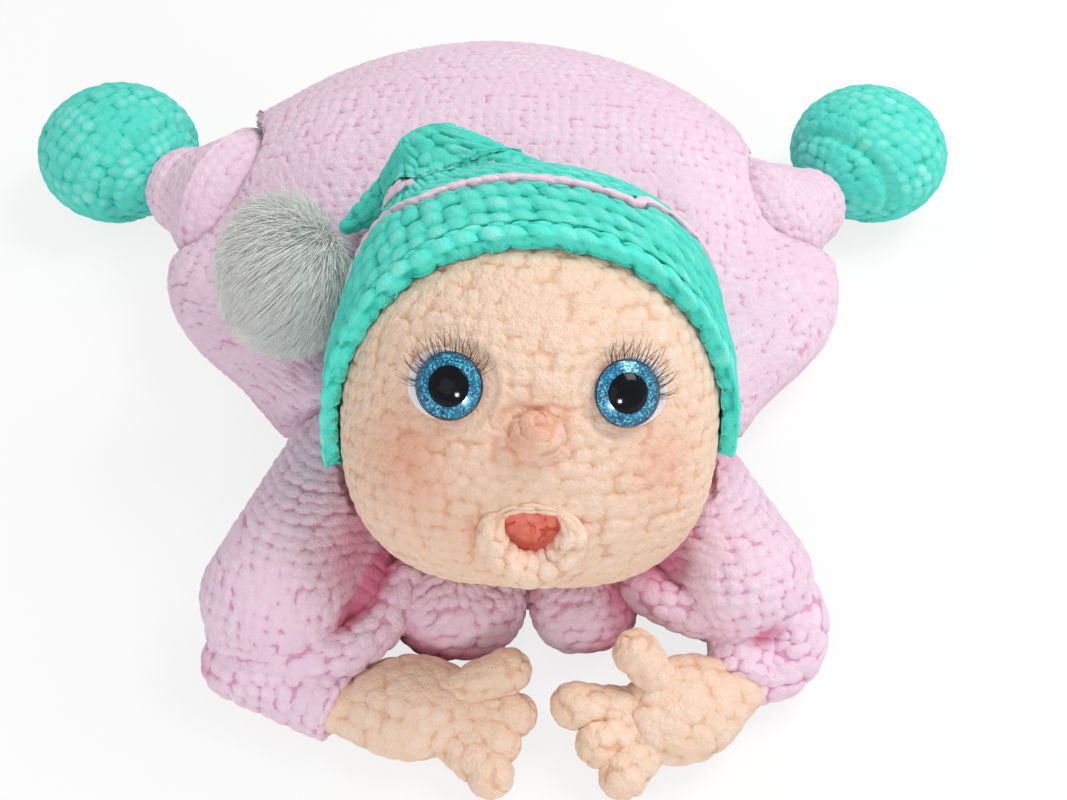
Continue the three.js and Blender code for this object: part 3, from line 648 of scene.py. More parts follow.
class Board:
    """A material whose nodes are added one by one."""

    def __init__(self, name: str) -> None:
        """Starts an empty material."""
        self.material = bpy.data.materials.new(name)
        self.material.use_nodes = True
        self.tree = self.material.node_tree
        self.tree.nodes.clear()
        self.output = self.tree.nodes.new("ShaderNodeOutputMaterial")

    def add(self, kind: str, settings: dict, sockets: dict, output: Any = 0) -> Term:
        """Adds any node.

        Args:
            kind: The node's type.
            settings: What is set on the node first.
            sockets: Values or terms of its inputs.
            output: Which output the term reads.

        Returns:
            The output as a term.
        """
        node = self.tree.nodes.new(kind)
        for key, value in settings.items():
            setattr(node, key, value)
        for key, value in sockets.items():
            if isinstance(value, Term):
                self.tree.links.new(value.socket, node.inputs[key])
            else:
                node.inputs[key].default_value = value
        return Term(self, node.outputs[output])

    def mark(self, name: str) -> Term:
        """A point attribute of the mesh."""
        return self.add("ShaderNodeAttribute", {"attribute_name": name}, {}, "Fac")

    def mix(self, share: Any, first: Any, second: Any) -> Term:
        """A colour between two others."""
        return self.add("ShaderNodeMix", {"data_type": "RGBA"}, {0: share, 6: first, 7: second}, 2)

    def place(self) -> Term:
        """Object coordinates."""
        return self.add("ShaderNodeTexCoord", {}, {}, "Object")

    def noise(self, scale: float, detail: float = 2.0, rough: float = 0.5) -> Term:
        """Noise on object coordinates, from 0 to 1."""
        sockets = {"Vector": self.place(), "Scale": scale, "Detail": detail, "Roughness": rough}
        return self.add("ShaderNodeTexNoise", {}, sockets, 0)

    def finish(self, shader: Term) -> bpy.types.Material:
        """Links the shader to the output."""
        self.tree.links.new(shader.socket, self.output.inputs["Surface"])
        return self.material


@dataclass(frozen=True)
class Finish:
    """What a piece is dressed in."""

    name: str
    slot: str

    def sockets(self, board: Board) -> dict:
        """Values and terms of the surface's inputs."""
        raise NotImplementedError

    def material(self) -> bpy.types.Material:
        """The Blender material."""
        board = Board(self.name)
        return board.finish(board.add("ShaderNodeBsdfPrincipled", {}, self.sockets(board)))


@dataclass(frozen=True)
class Chenille(Finish):
    """Plush yarn with painted light: a painted highlight on the top of each stitch, painted shade in the
    seams between stitches, and a warm, saturated painted shade along the folds.
    """

    yarn: str
    # Painted highlight colour for the tops of the stitches, also the sheen's tint.
    tip: str
    # Painted shade colour for the seams between the stitches.
    seam_shade: str
    # Painted shade colour along the folds.
    crease: str
    blush: str = ""
    sheen: float = 0.25
    crumple: float = 1.2

    def sockets(self, board: Board) -> dict:
        """Colours by the marks stitch, tone, fold and blush: painted shade in the seams and folds, a
        painted highlight on the stitch tops, and blush; a fine noise is the pile.
        """
        stitch, tone = board.mark("stitch"), board.mark("tone")
        pile, patch = board.noise(1100.0, 3.0, 0.6), board.noise(26.0, 2.0)
        clump, lump = board.noise(420.0, 2.0, 0.5), board.noise(210.0, 3.0, 0.6)
        # Painted shade: the seams between the stitches take the seam colour.
        raised = stitch.between(0.02, 0.5)
        colour = board.mix(raised, paint(self.seam_shade), paint(self.yarn))
        # Painted highlight: the tops of the stitches turn towards the tip colour, more on some stitches and
        # in some patches than others.
        pale = stitch.between(0.55, 1.0) * (0.25 + 0.75 * tone) * patch.between(0.3, 0.7)
        colour = board.mix(pale * 0.85, colour, paint(self.tip))
        # Painted shade along the folds, as strong as the mark fold.
        colour = board.mix(board.mark("fold").between(0.08, 1.0) * 0.9, colour, paint(self.crease))
        if self.blush:
            colour = board.mix(board.mark("blush") * (0.65 + 0.35 * tone), colour, paint(self.blush))
        # The fine pile noise darkens the yarn at random towards the seam colour.
        colour = board.mix((1.0 - pile.between(0.25, 0.6)) * 0.16, colour, paint(self.seam_shade))
        relief = pile + 1.6 * clump + self.crumple * lump
        bump = board.add("ShaderNodeBump", {}, {"Strength": 0.5, "Distance": 0.001, "Height": relief})
        return {
            "Base Color": colour,
            "Roughness": 0.95,
            "Sheen Weight": self.sheen,
            "Sheen Roughness": 0.45,
            "Sheen Tint": paint(self.tip),
            "Specular IOR Level": 0.12,
            "Normal": bump,
        }


@dataclass(frozen=True)
class Fur(Finish):
    """Soft straight fur, deeper at the roots and paler at the tips."""

    root: str
    tip: str

    def sockets(self, board: Board) -> dict:
        """Colours by the mark tip, with some strands darker than others."""
        patch = board.noise(45.0, 3.0)
        colour = board.mix(board.mark("tip"), paint(self.root), paint(self.tip))
        colour = board.mix(board.mark("tone") * patch.between(0.3, 0.7) * 0.2, colour, paint(self.root))
        return {"Base Color": colour, "Roughness": 0.75, "Sheen Weight": 0.3, "Specular IOR Level": 0.15}


@dataclass(frozen=True)
class Felt(Finish):
    """Pressed felt: short tangled fibres under a plain colour."""

    colour: str
    shade: str

    def sockets(self, board: Board) -> dict:
        """A fibre noise colours and bumps the felt."""
        fibre = board.noise(1800.0, 4.0, 0.7)
        colour = board.mix(fibre.between(0.35, 0.6), paint(self.shade), paint(self.colour))
        bump = board.add("ShaderNodeBump", {}, {"Strength": 0.3, "Distance": 0.0004, "Height": fibre})
        return {"Base Color": colour, "Roughness": 0.95, "Sheen Weight": 0.2, "Normal": bump}


@dataclass(frozen=True)
class Glitter(Finish):
    """Film of blue flakes: small cells, each with its own brightness."""

    deep: str
    mid: str
    bright: str

    def sockets(self, board: Board) -> dict:
        """Cells of half a millimetre colour the film, and few of them glint."""
        flakes = board.add("ShaderNodeTexVoronoi", {}, {"Vector": board.place(), "Scale": 1500.0}, "Color")
        level = board.add("ShaderNodeSeparateColor", {}, {"Color": flakes}, 0)
        cloud = board.noise(420.0, 3.0, 0.6)
        colour = board.mix(cloud.between(0.3, 0.7), paint(self.deep), paint(self.mid))
        colour = board.mix(level.between(0.6, 1.0), colour, paint(self.bright))
        return {"Base Color": colour, "Roughness": 0.35 - 0.2 * level, "Metallic": 0.35 * level}


@dataclass(frozen=True)
class Gloss(Finish):
    """Smooth moulded plastic; a clear one can't be seen face on and mirrors towards its edge."""

    colour: str
    roughness: float
    cover: float = 1.0
    metal: float = 0.0
    coat: float = 0.3
    specular: float = 0.5

    def sockets(self, board: Board) -> dict:
        """Faint wear changes the roughness."""
        wear = board.noise(160.0, 3.0)
        tint = board.mix(wear * 0.02, paint(self.colour), paint("808488"))
        sockets = {
            "Base Color": tint,
            "Roughness": self.roughness + 0.04 * wear,
            "Metallic": self.metal,
            "Specular IOR Level": self.specular,
            "Coat Weight": self.coat,
        }
        if self.cover < 1.0:
            steep = board.add("ShaderNodeLayerWeight", {}, {"Blend": 0.5}, "Facing")
            sockets["Alpha"] = self.cover * steep**4.0
        return sockets


# Each yarn's colours: the yarn, its painted highlight on the stitch tops, its painted shade in the seams,
# its painted shade in the folds, then blush.
ROMPER = Chenille("romper yarn", "romper_yarn", "F3D6E7", "FCEDF6", "E2A8C4", "DC6E92", sheen=0.3)
MINT = Chenille("mint yarn", "mint_yarn", "58E0CE", "A6F7EB", "37BFAC", "1C8C78")
EDGE = Chenille("mint edge yarn", "mint_yarn", "5CEFDC", "B0FBF0", "3BCBB8", "1C8C78")
SKIN = Chenille("skin yarn", "skin_yarn", "F6D6BE", "FDE9DA", "EDC2A4", "DC8F70", "E9A387", crumple=4.6)
CORAL = Chenille("coral yarn", "coral_yarn", "FF9A88", "FFC0B0", "DE6C58", "C24C3A")
HAT_PINK = Chenille("hat pink yarn", "romper_yarn", "F7D8E6", "FDEBF3", "E2B2C9", "CF5C82")
FUR = Fur("pale fur", "faux_fur", "F4F5EF", "FFFFFF")
FELT = Felt("white felt", "felt", "F3F1F6", "D6D3DE")
GLITTER = Glitter("blue glitter", "glitter_film", "013E66", "0388B6", "86E6FA")
CLEAR = Gloss("clear dome", "clear_plastic", "FFFFFF", 0.02, cover=0.6, metal=1.0, coat=0.0)
BLACK = Gloss("black pupil", "black_plastic", "04060C", 0.1, coat=0.0, specular=0.2)
RIM = Gloss("dark rim", "black_plastic", "12253F", 0.3)
WHITE = Gloss("white plastic", "white_plastic", "E6E6E2", 0.35)
LASH = Gloss("lash hair", "lash_hair", "5E4130", 0.7, coat=0.0)


# Pieces


def build(
    name: str, skins: list[Skin], finish: Finish, body: str, nodes: tuple[str, ...] = ()
) -> bpy.types.Object:
    """Makes a piece, dresses it and ties it to its body.

    Args:
        name: The piece's name.
        skins: Its surfaces.
        finish: Its material.
        body: The CAD body that it moves with.
        nodes: The CAD nodes that it stands for.

    Returns:
        The piece.
    """
    mesh = mesh_of(name, skins)
    piece = bpy.data.objects.new(name, mesh)
    bpy.context.scene.collection.objects.link(piece)
    mesh.materials.append(bpy.data.materials.get(finish.name) or finish.material())
    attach(piece, body)
    if nodes:
        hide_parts(*nodes)
    LOG.info("%s: %d faces on %s", name, len(mesh.polygons), body)
    return piece


def tube(path: Array, radii: Array, sides: int) -> Array:
    """Round tube along a path: each ring stands square to the path, and the ends close on its end points.

    Args:
        path: Points of the middle line.
        radii: Radius at each point.
        sides: Points round the tube.

    Returns:
        Rows by columns of points, the first and last row being the path's ends.
    """
    forward = unit(np.gradient(path, axis=0))
    first = unit(np.cross(forward, unit(np.array([0.37, 0.21, 0.91]) + 0.0 * forward)))
    second = np.cross(forward, first)
    angle = around(sides)
    ring = np.cos(angle)[:, None] * first[:, None, :] + np.sin(angle)[:, None] * second[:, None, :]
    rings = path[:, None, :] + ring * radii[:, None, None]
    ends = np.repeat(path[[0, -1]][:, None, :], sides, 1)
    return np.concatenate([ends[:1], rings, ends[1:]])


def straight(path: Array, radii: Array, sides: int) -> Array:
    """The same tube drawn out straight, on which stitches are counted: length along it, then a circle."""
    steps = np.linalg.norm(np.diff(path, axis=0), axis=-1)
    far = np.concatenate([[0.0], np.cumsum(steps)])[:, None]
    angle = around(sides)
    middle = far + 0.0 * angle
    grid = np.stack([middle, radii[:, None] * np.cos(angle), radii[:, None] * np.sin(angle)], -1)
    ends = np.stack([middle, 0.0 * middle, 0.0 * middle], -1)
    return np.concatenate([ends[:1], grid, ends[-1:]])


@dataclass(frozen=True)
class Side:
    """Left or right: where the solids of that arm and leg lie."""

    name: str
    sign: float
    root: Point
    wrist: Point
    palm: Point
    hand_heading: float
    fingers: tuple[tuple[str, float, float, float], ...]
    shin: Limb
    hip: Limb
    ankle: Point

    def shoulder(self) -> Point:
        """Middle of the shoulder."""
        return (self.sign * 88.2, -73.3, 35.5)

    def elbow(self) -> Point:
        """Middle of the elbow."""
        return (self.sign * 113.0, -161.9, 42.5)

    def knee(self) -> Point:
        """Middle of the knee."""
        return (self.sign * 169.9, 119.6, 45.5)

    def upper_arm(self) -> Limb:
        """The sleeve's solid."""
        return Limb(self.shoulder(), self.elbow(), 36.0, 43.0)

    def swept_leg(self) -> tuple[Form, ...]:
        """The lower leg at several places of its swing, less the depth of the stitches."""
        turns = (-7.0, 0.0, 15.0, 35.0)
        limbs = (self.shin.grown(-0.5), self.hip.grown(-0.5))
        return tuple(Swung(limb, self.knee(), -self.sign * turn) for turn in turns for limb in limbs)

    def swept_arm(self) -> tuple[Form, ...]:
        """The sleeve at several places of its swing, less the depth of the stitches."""
        arm = self.upper_arm().grown(-0.4)
        return tuple(Swung(arm, self.shoulder(), self.sign * turn) for turn in (0.0, 20.0, 40.0))

    def passed_head(self) -> tuple[Form, ...]:
        """Where the head lies for the sleeve at several places of the sleeve's swing."""
        turns, heads = (20.0, 40.0), CAPPED_HEAD[::2]
        return tuple(Swung(head, self.shoulder(), -self.sign * turn) for turn in turns for head in heads)


LEFT = Side(
    "left",
    -1.0,
    (-135.0, -178.5, 21.0),
    (-85.0, -205.5, 17.5),
    (-49.7, -204.9, 18.5),
    1.0,
    (
        ("thumb", 12.0, 18.0, 51.1),
        ("index_finger", -6.0, 0.0, 50.4),
        ("middle_finger", -24.0, -3.0, 46.2),
        ("little_finger", -42.0, -5.0, 51.8),
    ),
    Limb((-168.0, 130.0, 46.0), (-195.0, 147.0, 43.0), 49.0, 29.0),
    Limb((-160.0, 147.0, 43.0), (-184.0, 153.0, 39.0), 41.0, 29.0),
    (-247.5, 190.5, 39.5),
)
RIGHT = Side(
    "right",
    1.0,
    (121.6, -168.8, 21.5),
    (115.4, -198.1, 17.5),
    (84.4, -209.5, 19.5),
    205.0,
    (
        ("thumb", 144.0, 42.0, 39.2),
        ("index_finger", 180.0, 6.0, 54.6),
        ("middle_finger", 203.0, 0.0, 46.2),
        ("little_finger", 226.0, -5.0, 46.2),
    ),
    Limb((168.0, 113.0, 44.0), (195.0, 131.0, 40.0), 41.0, 26.5),
    Limb((150.0, 127.0, 46.0), (176.0, 133.0, 43.0), 34.0, 26.0),
    (246.5, 185.4, 39.5),
)
HEAD = HeadForm()
CAPPED_HEAD = tuple(HeadForm(hat=9.0, turned=turn).grown(0.7) for turn in (0.0, 7.5, 15.0))


@dataclass(frozen=True)
class Romper:
    """Body of the romper, one stuffed piece from rump to chest, and two folds of cloth under the chin."""

    rump: Pad = Pad((-3.0, 116.3, 52.0), (179.0, 144.0, 79.0), 52.5, 1.9)
    chest: Pad = Pad((0.0, -74.7, 23.0), (107.0, 78.0, 23.0))
    centre: Point = (0.0, 55.0, 22.0)
    reach: Point = (185.0, 205.0, 100.0)
    socket_edge: float = 14.0
    rows: int = 285
    columns: int = 348

    def forms(self) -> tuple[Form, ...]:
        """Rump and chest, and on each side the thigh, the hip and the flank."""
        return (
            self.rump,
            self.chest,
            Pad((-118.0, 78.0, 39.0), (84.0, 80.0, 41.0)),
            Pad((122.0, 70.0, 39.0), (84.0, 90.0, 41.0)),
            Pad((-131.0, 137.0, 43.0), (70.0, 74.0, 45.0)),
            Pad((124.0, 120.0, 43.0), (66.0, 57.0, 43.0)),
            Limb((-141.0, 43.0, 36.0), (-90.0, -32.0, 34.0), 37.0, 34.0),
            Limb((150.0, 43.0, 36.0), (98.0, -38.0, 34.0), 38.0, 34.0),
        )

    def dents(self) -> tuple[Fold, ...]:
        """Shallow valleys between the dome and the thighs, with painted shade in them, and painted shade
        alone on the cloth beside the head on both sides.
        """
        return (
            Fold(((131.0, 109.0, 70.0), (140.0, 65.0, 66.0), (153.0, 38.0, 52.0)), 22.0, -7.0, 0.22),
            Fold(((-150.0, 165.0, 70.0), (-132.0, 128.0, 76.0), (-121.0, 85.0, 72.0)), 20.0, -5.0, 0.12),
            # No relief here: painted shade on the cloth where it meets the head.
            Fold(((104.0, -80.0, 58.0), (94.0, -110.0, 50.0), (70.0, -130.0, 40.0)), 26.0, 0.0, 0.95),
            Fold(((-92.0, -80.0, 58.0), (-82.0, -105.0, 50.0), (-60.0, -125.0, 40.0)), 26.0, 0.0, 0.95),
        )

    def build(self, sides: tuple[Side, ...]) -> None:
        """Rows start at the seat's far end and run round the dome; the cloth lies flat where it rests."""
        angle = np.linspace(0.0, 2.0 * math.pi, 721)[:-1]
        shown = np.where(np.sin(angle) > -0.2, 1.0, 0.15)
        weights = np.hypot(190.0 * np.sin(angle), 80.0 * np.cos(angle)) * shown
        azimuth = spread(self.columns + 1, weights)[:-1] * 2.0 * math.pi
        polar = spread(self.rows, np.where(np.linspace(0, 1, 400) < 0.72, 1.0, 0.6)) * math.pi
        directions = rays((0, 1, 0), (-1, 0, 0), polar, azimuth) * np.array(self.reach)
        cuts = CAPPED_HEAD + sum((side.swept_arm() + side.swept_leg() for side in sides), ())
        centre = np.array(self.centre)
        points = star(self.forms(), 16.0, centre, directions, 1.7, cuts, edge=self.socket_edge)
        crochet = Crochet(width=7.4, height=7.0, loft=1.9, seed=3.0)
        body = Skin(points).crocheted(crochet, self.dents()).resting()
        build("romper_body", [body], ROMPER, "body", ("body",))
        self.folds(sides)
        neck = ball(NECK, (20.0, 20.0, 20.0), (0, 0, 1), 30, 40)
        build("neck_form", [Skin(neck).resting()], SKIN, "body", ("neck",))

    def folds(self, sides: tuple[Side, ...]) -> None:
        """The chest's cloth bulges out under the chin on both sides of a deep crease; painted shade lies in
        the creases, under the bulges and between them.
        """
        # Creases with painted shade in them, and painted shade alone under the bulges and in the notch
        # between them.
        creases_and_shade = {
            "left": (
                Fold(((-30.0, -168.0, 33.0), (-16.0, -156.0, 39.0), (-6.0, -146.0, 42.0)), 4.5, -2.5, 0.35),
                Fold(((-52.0, -174.0, 20.0), (-36.0, -178.0, 14.0), (-8.0, -172.0, 10.0)), 15.0, 0.0, 0.85),
            ),
            "right": (
                Fold(((58.0, -150.0, 34.0), (54.0, -166.0, 20.0), (44.0, -172.0, 10.0)), 15.0, -2.0, 1.0),
                Fold(((10.0, -150.0, 34.0), (12.0, -158.0, 16.0)), 7.0, 0.0, 0.6),
            ),
        }
        middles = {
            "left": ((-27.0, -143.0, 21.0), (37.0, 35.0, 23.0)),
            "right": ((39.0, -143.0, 20.5), (30.0, 34.0, 22.0)),
        }
        cuts = CAPPED_HEAD + tuple(side.upper_arm().grown(0.6) for side in sides)
        for name, (middle, half) in middles.items():
            directions = fan((0.0, -0.4, -0.9), 104, 140, (1, 0, 0)) * np.array(half)
            centre = np.array(middle) + (0, -12.0, -8.0)
            skin = Skin(star((Pad(middle, half, power=2.3),), 1.0, centre, directions, 2.0, cuts))
            crochet = Crochet(width=8.4, height=7.8, loft=2.2, looseness=0.4, seed=11.0)
            fold = skin.crocheted(crochet, creases_and_shade[name]).resting()
            build(f"chin_fold_{name}", [fold], ROMPER, "body", ())


@dataclass(frozen=True)
class Arm:
    """Sleeve with its rolled hems, the forearm under it, and the hand."""

    side: Side
    elbow: Point
    elbow_radius: float
    fill: Limb
    rolls: tuple[tuple[tuple[Point, ...], tuple[float, ...]], ...]
    folds: tuple[Fold, ...]
    rows: int = 176
    columns: int = 204
    finger_height: float = 11.0

    def sleeve(self) -> None:
        """Rings of stitches run across the arm, and the first ones lie low at the elbow's front."""
        side = self.side
        shoulder, elbow = np.array(side.shoulder()), np.array(self.elbow)
        limb = Limb(side.shoulder(), self.elbow, 36.0, self.elbow_radius)
        directions = fan(elbow - shoulder, self.rows, self.columns, (1, 0, 0))
        front = np.maximum(directions @ unit(elbow - shoulder), 0.0)[..., None]
        directions = unit(directions - np.array((0.0, 0.0, 0.75)) * front**2) * 90.0
        centre = elbow + 0.3 * (shoulder - elbow)
        skin = Skin(star((limb, self.fill), 8.0, centre, directions, 2.0, CAPPED_HEAD + side.passed_head()))
        crochet = Crochet(width=8.2, height=7.6, loft=2.1, seed=5.0 + side.sign)
        skin = skin.crocheted(crochet, self.folds).resting()
        node = f"sleeve_{side.name}"
        build(f"{node}_yarn", [skin], ROMPER, node, (node,))

    def hems(self) -> None:
        """Rolled cloth along the sleeve's edge, and round the wrist, where it rides the forearm."""
        side = self.side
        for number, (places, radii) in enumerate(self.rolls):
            path, thick = smooth_path(np.array(places), np.array(radii), 110)
            room = np.min([form.depth(path) for form in CAPPED_HEAD], axis=0)
            thick = np.maximum(np.minimum(thick, room - 0.5), 0.1)
            crochet = Crochet(width=8.6, height=8.2, loft=2.0, looseness=0.5, seed=15.0 + number)
            skin = Skin(tube(path, thick, 120)).crocheted(crochet, self.folds, straight(path, thick, 120))
            body = "forearm" if number else "sleeve"
            name = f"hem_{side.name}_{number + 1}_yarn"
            build(name, [skin.resting()], ROMPER, f"{body}_{side.name}", ())

    def forearm(self) -> None:
        """A short limb from under the elbow to the cuff."""
        side = self.side
        seat, wrist = np.array(side.root), np.array(side.wrist)
        limb = Limb(side.root, side.wrist, 21.0, 18.0)
        directions = fan(seat - wrist, 120, 130) * 60.0
        base = star((limb,), 1.0, 0.5 * (seat + wrist), directions)
        along = unit(wrist - seat)
        beyond = np.maximum((base - wrist) @ along + 3.0, 0.0)
        skin = Skin(base - 0.8 * beyond[..., None] * along)
        crochet = Crochet(width=8.2, height=7.8, loft=2.0, seed=9.0)
        skin = skin.crocheted(crochet, self.folds).resting()
        build(f"cuff_{side.name}", [skin], ROMPER, f"forearm_{side.name}", (f"forearm_{side.name}",))

    def hand(self) -> None:
        """A palm with a wrist, a thumb and three fingers."""
        side = self.side
        palm, wrist = np.array(side.palm), np.array(side.wrist)
        pad = Pad(side.palm, (35.0, 28.0, 20.0), heading=side.hand_heading)
        forms = (pad, Limb(side.wrist, side.palm, 13.0, 16.0))
        directions = fan(wrist - palm, 130, 160) * 34.0
        skin = Skin(star(forms, 8.0, palm, directions, 2.0))
        crochet = Crochet(width=9.6, height=8.8, loft=1.9, looseness=0.6, seed=2.0, fullness=0.68)
        skin = skin.crocheted(crochet).resting()
        build(f"palm_{side.name}_yarn", [skin], SKIN, f"hand_{side.name}", (f"palm_{side.name}",))
        for number, (name, heading, rise, reach) in enumerate(side.fingers):
            tip = palm + aimed(heading, rise) * reach
            tip[2] = max(tip[2], self.finger_height)
            root = palm + 0.3 * (tip - palm)
            limb = Limb(tuple(root), tuple(tip), 9.6, 12.2)
            directions = fan(tip - root, 80, 88) * 26.0
            skin = Skin(star((limb,), 1.0, root + 0.6 * (tip - root), directions))
            crochet = replace(crochet, width=9.0, height=8.4, seed=20.0 + number)
            node = f"{name}_{side.name}"
            skin = skin.crocheted(crochet).resting()
            build(f"{node}_yarn", [skin], SKIN, f"hand_{side.name}", (node,))

    def build(self) -> None:
        """Sleeve, hems, cuff and hand."""
        self.sleeve()
        self.hems()
        self.forearm()
        self.hand()


def smooth_path(places: Array, radii: Array, count: int) -> tuple[Array, Array]:
    """Smooth line through a few places, with a half-round end on both sides.

    Args:
        places: The places.
        radii: Thickness at each place.
        count: Points of the line between the first place and the last.

    Returns:
        The line's points, and the radius at each of them.
    """
    number = np.arange(len(places), dtype=float)
    share = np.linspace(0.0, number[-1], count)
    line = np.stack([np.interp(share, number, values) for values in (*places.T, radii)], -1)
    for _ in range(60):
        line[1:-1] = 0.25 * line[:-2] + 0.5 * line[1:-1] + 0.25 * line[2:]
    path, thick = line[:, :3], line[:, 3]
    turn = np.linspace(0.0, 0.5 * math.pi, 14)[1:]
    first = path[0] + np.outer(np.sin(turn) * thick[0], unit(path[0] - path[1]))[::-1]
    last = path[-1] + np.outer(np.sin(turn) * thick[-1], unit(path[-1] - path[-2]))
    ends = np.maximum(np.cos(turn), 0.02)
    radius = np.concatenate([ends[::-1] * thick[0], thick, ends * thick[-1]])
    return np.concatenate([first, path, last]), radius


LEFT_ARM = Arm(
    LEFT,
    (-118.0, -154.0, 41.0),
    38.0,
    Limb((-84.0, -112.0, 28.0), (-72.0, -150.0, 22.0), 24.0, 20.0),
    (
        (
            (
                (-137.0, -170.0, 36.0), (-122.0, -181.0, 34.0), (-100.0, -185.0, 32.0),
                (-80.0, -181.0, 31.0), (-66.0, -168.0, 32.0), (-57.0, -151.0, 34.0),
                (-51.0, -132.0, 36.0), (-52.0, -118.0, 32.0),
            ),
            (16.0, 16.0, 15.0, 13.5, 12.5, 12.0, 12.0, 9.0),
        ),
    ),
    # Painted shade alone, with no relief: in the pocket inside the rolled hem, on the sleeve next to the
    # head, and along the crease under the roll.
    (
        Fold(
            ((-60.0, -128.0, 42.0), (-68.0, -144.0, 42.0), (-76.0, -160.0, 38.0), (-86.0, -168.0, 40.0)),
            11.0, 0.0, 1.0,
        ),
        Fold(((-76.0, -95.0, 62.0), (-72.0, -120.0, 58.0), (-82.0, -146.0, 56.0)), 20.0, 0.0, 0.6),
        Fold(
            ((-150.0, -184.0, 26.0), (-118.0, -198.0, 24.0), (-90.0, -200.0, 24.0), (-76.0, -196.0, 18.0)),
            7.0, 0.0, 0.9,
        ),
    ),
)
RIGHT_ARM = Arm(
    RIGHT,
    (121.0, -148.0, 40.0),
    35.0,
    Limb((92.0, -120.0, 30.0), (104.0, -156.0, 28.0), 22.0, 18.0),
    (
        (
            (
                (59.0, -133.0, 35.0), (65.0, -145.0, 34.0), (80.0, -155.0, 33.0),
                (98.0, -162.0, 32.0), (112.0, -161.0, 34.0),
            ),
            (9.0, 13.0, 14.0, 15.0, 13.5),
        ),
        (
            (
                (133.0, -150.0, 36.0), (144.0, -166.0, 30.0), (144.0, -180.0, 24.0),
                (135.0, -190.0, 19.0), (126.0, -193.0, 17.0),
            ),
            (24.0, 20.0, 17.0, 15.0, 13.0),
        ),
    ),
    # Two creases with painted shade in them, and painted shade alone on the sleeve next to the head.
    (
        Fold(((101.0, -122.0, 58.0), (94.0, -132.0, 52.0), (88.0, -143.0, 48.0)), 9.0, -7.0, 1.0),
        Fold(((112.0, -184.0, 24.0), (121.0, -181.0, 33.0), (129.0, -178.0, 42.0)), 7.0, -2.0, 1.0),
        Fold(
            ((104.0, -78.0, 62.0), (98.0, -100.0, 58.0), (88.0, -124.0, 52.0), (72.0, -138.0, 44.0)),
            22.0, 0.0, 0.85,
        ),
    ),
)


@dataclass(frozen=True)
class Leg:
    """Lower leg of the romper and its ball-shaped bootie."""

    side: Side

    def build(self) -> None:
        """The leg's rows run to its cuff, the bootie's start at its far end."""
        side = self.side
        limb = side.shin
        knee, cuff = np.array(limb.start), np.array(limb.end)
        bootie = Pad(side.ankle, (52.0, 52.0, 41.0))
        directions = fan(cuff - knee, 122, 184) * 70.0
        centre = knee + 0.3 * (cuff - knee)
        skin = Skin(star((limb, side.hip), 3.0, centre, directions, 1.6, (bootie.grown(0.8),)))
        skin = skin.crocheted(Crochet(width=7.6, height=7.2, loft=1.8, seed=31.0, fullness=0.64)).resting()
        node = f"leg_{side.name}"
        build(f"{node}_yarn", [skin], ROMPER, node, (node,))
        away = np.array(side.ankle) - cuff
        base = ball(side.ankle, bootie.half, away, 165, 220)
        ring = rays(-away, (0, 0, 1), np.array([0.86]), around(24))[0]
        line = np.array(side.ankle) + ring * np.array(bootie.half)
        # A crease round the ankle, with painted shade in it.
        crease = Fold(tuple(map(tuple, np.concatenate([line, line[:1]]))), 4.5, -3.5, 0.3)
        crochet = Crochet(width=9.0, height=8.6, loft=2.0, looseness=0.4, seed=41.0, fullness=0.64)
        skin = Skin(base).crocheted(crochet, (crease,)).resting()
        node = f"bootie_{side.name}"
        build(f"{node}_yarn", [skin], MINT, node, (node,))


